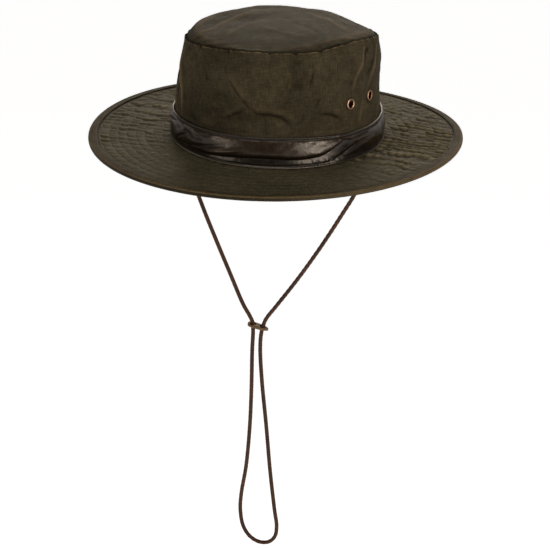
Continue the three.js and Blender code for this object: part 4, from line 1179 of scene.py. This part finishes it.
# Cord slider: a leather plate with rounded edges and two holes, round at one end and pointed at the other
SLIDER_TILT, SLIDER_HALF_WIDTH, SLIDER_THICK = math.radians(11.5), 4.3, 2.6
SLIDER_STRANDS, SLIDER_HEIGHT = (-23.6, -14.4), -184.9
SLIDER_ROUND_END, SLIDER_POINTED_END, SLIDER_CHEEK = -9.6, 10.2, 0.75
SLIDER_HOLE_RADIUS, SLIDER_BEVEL, SHARP_ANGLE = 2.6, 0.45, 40


def slider_outline():
    centre = SLIDER_ROUND_END + SLIDER_HALF_WIDTH
    outline = [
        (centre + SLIDER_HALF_WIDTH * math.cos(a), SLIDER_HALF_WIDTH * math.sin(a))
        for a in np.linspace(math.pi / 2, 1.5 * math.pi, 33)
    ]
    u = np.linspace(0, 1, 25)[1:]
    for side, steps in ((-1, u), (1, 1 - u[:-1])):
        xs = (centre, 0, SLIDER_CHEEK * SLIDER_POINTED_END, SLIDER_POINTED_END)
        a, b, c, d = (np.array([x, y]) for x, y in zip(xs, (*[side * SLIDER_HALF_WIDTH] * 3, 0)))
        for v in steps:
            w = 1 - v
            outline.append(tuple(w ** 3 * a + 3 * w ** 2 * v * b + 3 * w * v ** 2 * c + v ** 3 * d))
    return outline


def slider_plate():
    reach = (SLIDER_STRANDS[1] - SLIDER_STRANDS[0]) / math.cos(SLIDER_TILT) / 2
    loops = [slider_outline()]
    for x in (-reach, reach):
        hole = [(math.cos(a) * SLIDER_HOLE_RADIUS, math.sin(a) * SLIDER_HOLE_RADIUS) for a in angles(32)]
        loops.append([(x + hole_x, hole_y) for hole_x, hole_y in hole])
    curve = bpy.data.curves.new("slider_outline", "CURVE")
    curve.dimensions, curve.fill_mode, curve.bevel_resolution = "2D", "BOTH", 3
    curve.extrude, curve.bevel_depth = (SLIDER_THICK / 2 - SLIDER_BEVEL) * MM, SLIDER_BEVEL * MM
    curve.offset = -SLIDER_BEVEL * MM
    for loop in loops:
        spline = curve.splines.new("POLY")
        spline.points.add(len(loop) - 1)
        for point, (x, y) in zip(spline.points, loop):
            point.co = (x * MM, y * MM, 0, 1)
        spline.use_cyclic_u = True
    maker = add("slider_outline", curve)
    mesh = bpy.data.meshes.new_from_object(maker.evaluated_get(bpy.context.evaluated_depsgraph_get()))
    bpy.data.objects.remove(maker)
    made = bmesh.new()
    made.from_mesh(mesh)
    bmesh.ops.remove_doubles(made, verts=made.verts, dist=1e-6)
    bmesh.ops.recalc_face_normals(made, faces=made.faces)
    made.to_mesh(mesh)
    made.free()
    mesh.materials.clear()
    middle = Matrix.Translation((sum(SLIDER_STRANDS) / 2 * MM, 0, SLIDER_HEIGHT * MM))
    mesh.transform(middle @ Matrix.Rotation(SLIDER_TILT, 4, "Y"))
    return add_smooth("cord_slider_plate", mesh, SLIDER_LEATHER)


slider = slider_plate()
slider.data.set_sharp_from_angle(angle=math.radians(SHARP_ANGLE))
dress(slider, "cord_slider")

# Cord tabs: the CAD blocks with a leather finish
for node in ("cord_tab_left", "cord_tab_right"):
    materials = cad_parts[node].data.materials
    materials.clear()
    materials.append(TAB_LEATHER)

# The cord's path, from every seventh point of its course and the last one
PATH_STEP = 7
path = course[::PATH_STEP]
if len(course) % PATH_STEP != 1:
    path = np.concatenate([path, course[-1:]])

# Camera, fitted to the photograph: azimuth, elevation and distance of the view, and the point at its middle
VIEW = (18, 20.5, 1.6)
LENS, SENSOR, FAR_CLIP = 117.5, 36, 60
AIM_LEVEL, AIM_ASIDE = -0.13323, -0.00249
AIM = Matrix.Rotation(math.radians(VIEW[0]), 3, "Z") @ Vector((AIM_ASIDE, 0, AIM_LEVEL))

# Stage and light
FLOOR_HALF, FLOOR_LEVEL, FLOOR_GLOW = 30, -1.5, 0.92
WORLD_COLOUR, WORLD_STRENGTH = (1, 0.93, 0.84, 1), 0.07
# Name, azimuth, elevation, distance, size, power and colour
LIGHTS = [
    ("softbox_right", 66, 11, 2, (0.9, 0.6), 15, (1, 0.95, 0.87)),
    ("softbox_left", -38, 12, 2.2, (0.7, 0.6), 5.2, (1, 0.93, 0.85)),
    ("softbox_top", 10, 74, 1.8, (1.3, 1.3), 15, (1, 0.97, 0.92)),
    ("softbox_back", 190, 25, 2, (1.5, 0.8), 14, (1, 0.87, 0.72)),
]
LIGHTS_AIM = Vector((0, 0, 0.04))

paper = Paint(
    "floor_paper", Base_Color=(0.92, 0.92, 0.92, 1), Roughness=0.9, Specular_IOR_Level=0.1,
    Emission_Color=(1, 1, 1, 1), Emission_Strength=FLOOR_GLOW,
)
floor_mesh = bpy.data.meshes.new("floor")
corners = [(x * FLOOR_HALF, y * FLOOR_HALF, FLOOR_LEVEL) for x, y in ((-1, -1), (1, -1), (1, 1), (-1, 1))]
floor_mesh.from_pydata(corners, [], [(0, 1, 2, 3)])
floor_mesh.materials.append(paper.material)
floor = add("floor", floor_mesh)

scene.world = bpy.data.worlds.new("studio")
scene.world.use_nodes = True
background = scene.world.node_tree.nodes["Background"]
background.inputs["Color"].default_value = WORLD_COLOUR
background.inputs["Strength"].default_value = WORLD_STRENGTH


def mounted(name, data, azimuth, elevation, distance, aim):
    """A camera or lamp on a direction round the hat, turned to the point that it aims at."""
    a, e = math.radians(azimuth), math.radians(elevation)
    away = Vector((math.sin(a) * math.cos(e), -math.cos(a) * math.cos(e), math.sin(e)))
    made = add(name, data)
    made.location = aim + away * distance
    made.rotation_mode = "QUATERNION"
    made.rotation_quaternion = (-away).to_track_quat("-Z", "Y")
    return made


def softbox(name, azimuth, elevation, distance, size, power, colour):
    lamp = bpy.data.lights.new(name, "AREA")
    lamp.shape = "RECTANGLE"
    lamp.size, lamp.size_y = size
    lamp.energy = power
    lamp.color = colour
    mounted(name, lamp, azimuth, elevation, distance, LIGHTS_AIM)


camera_data = bpy.data.cameras.new("camera")
camera_data.lens = LENS
camera_data.sensor_width = SENSOR
camera_data.clip_end = FAR_CLIP
scene.camera = mounted("camera", camera_data, *VIEW, AIM)
for light in LIGHTS:
    softbox(*light)
scene.view_settings.view_transform = "Standard"
scene.view_settings.exposure = 0
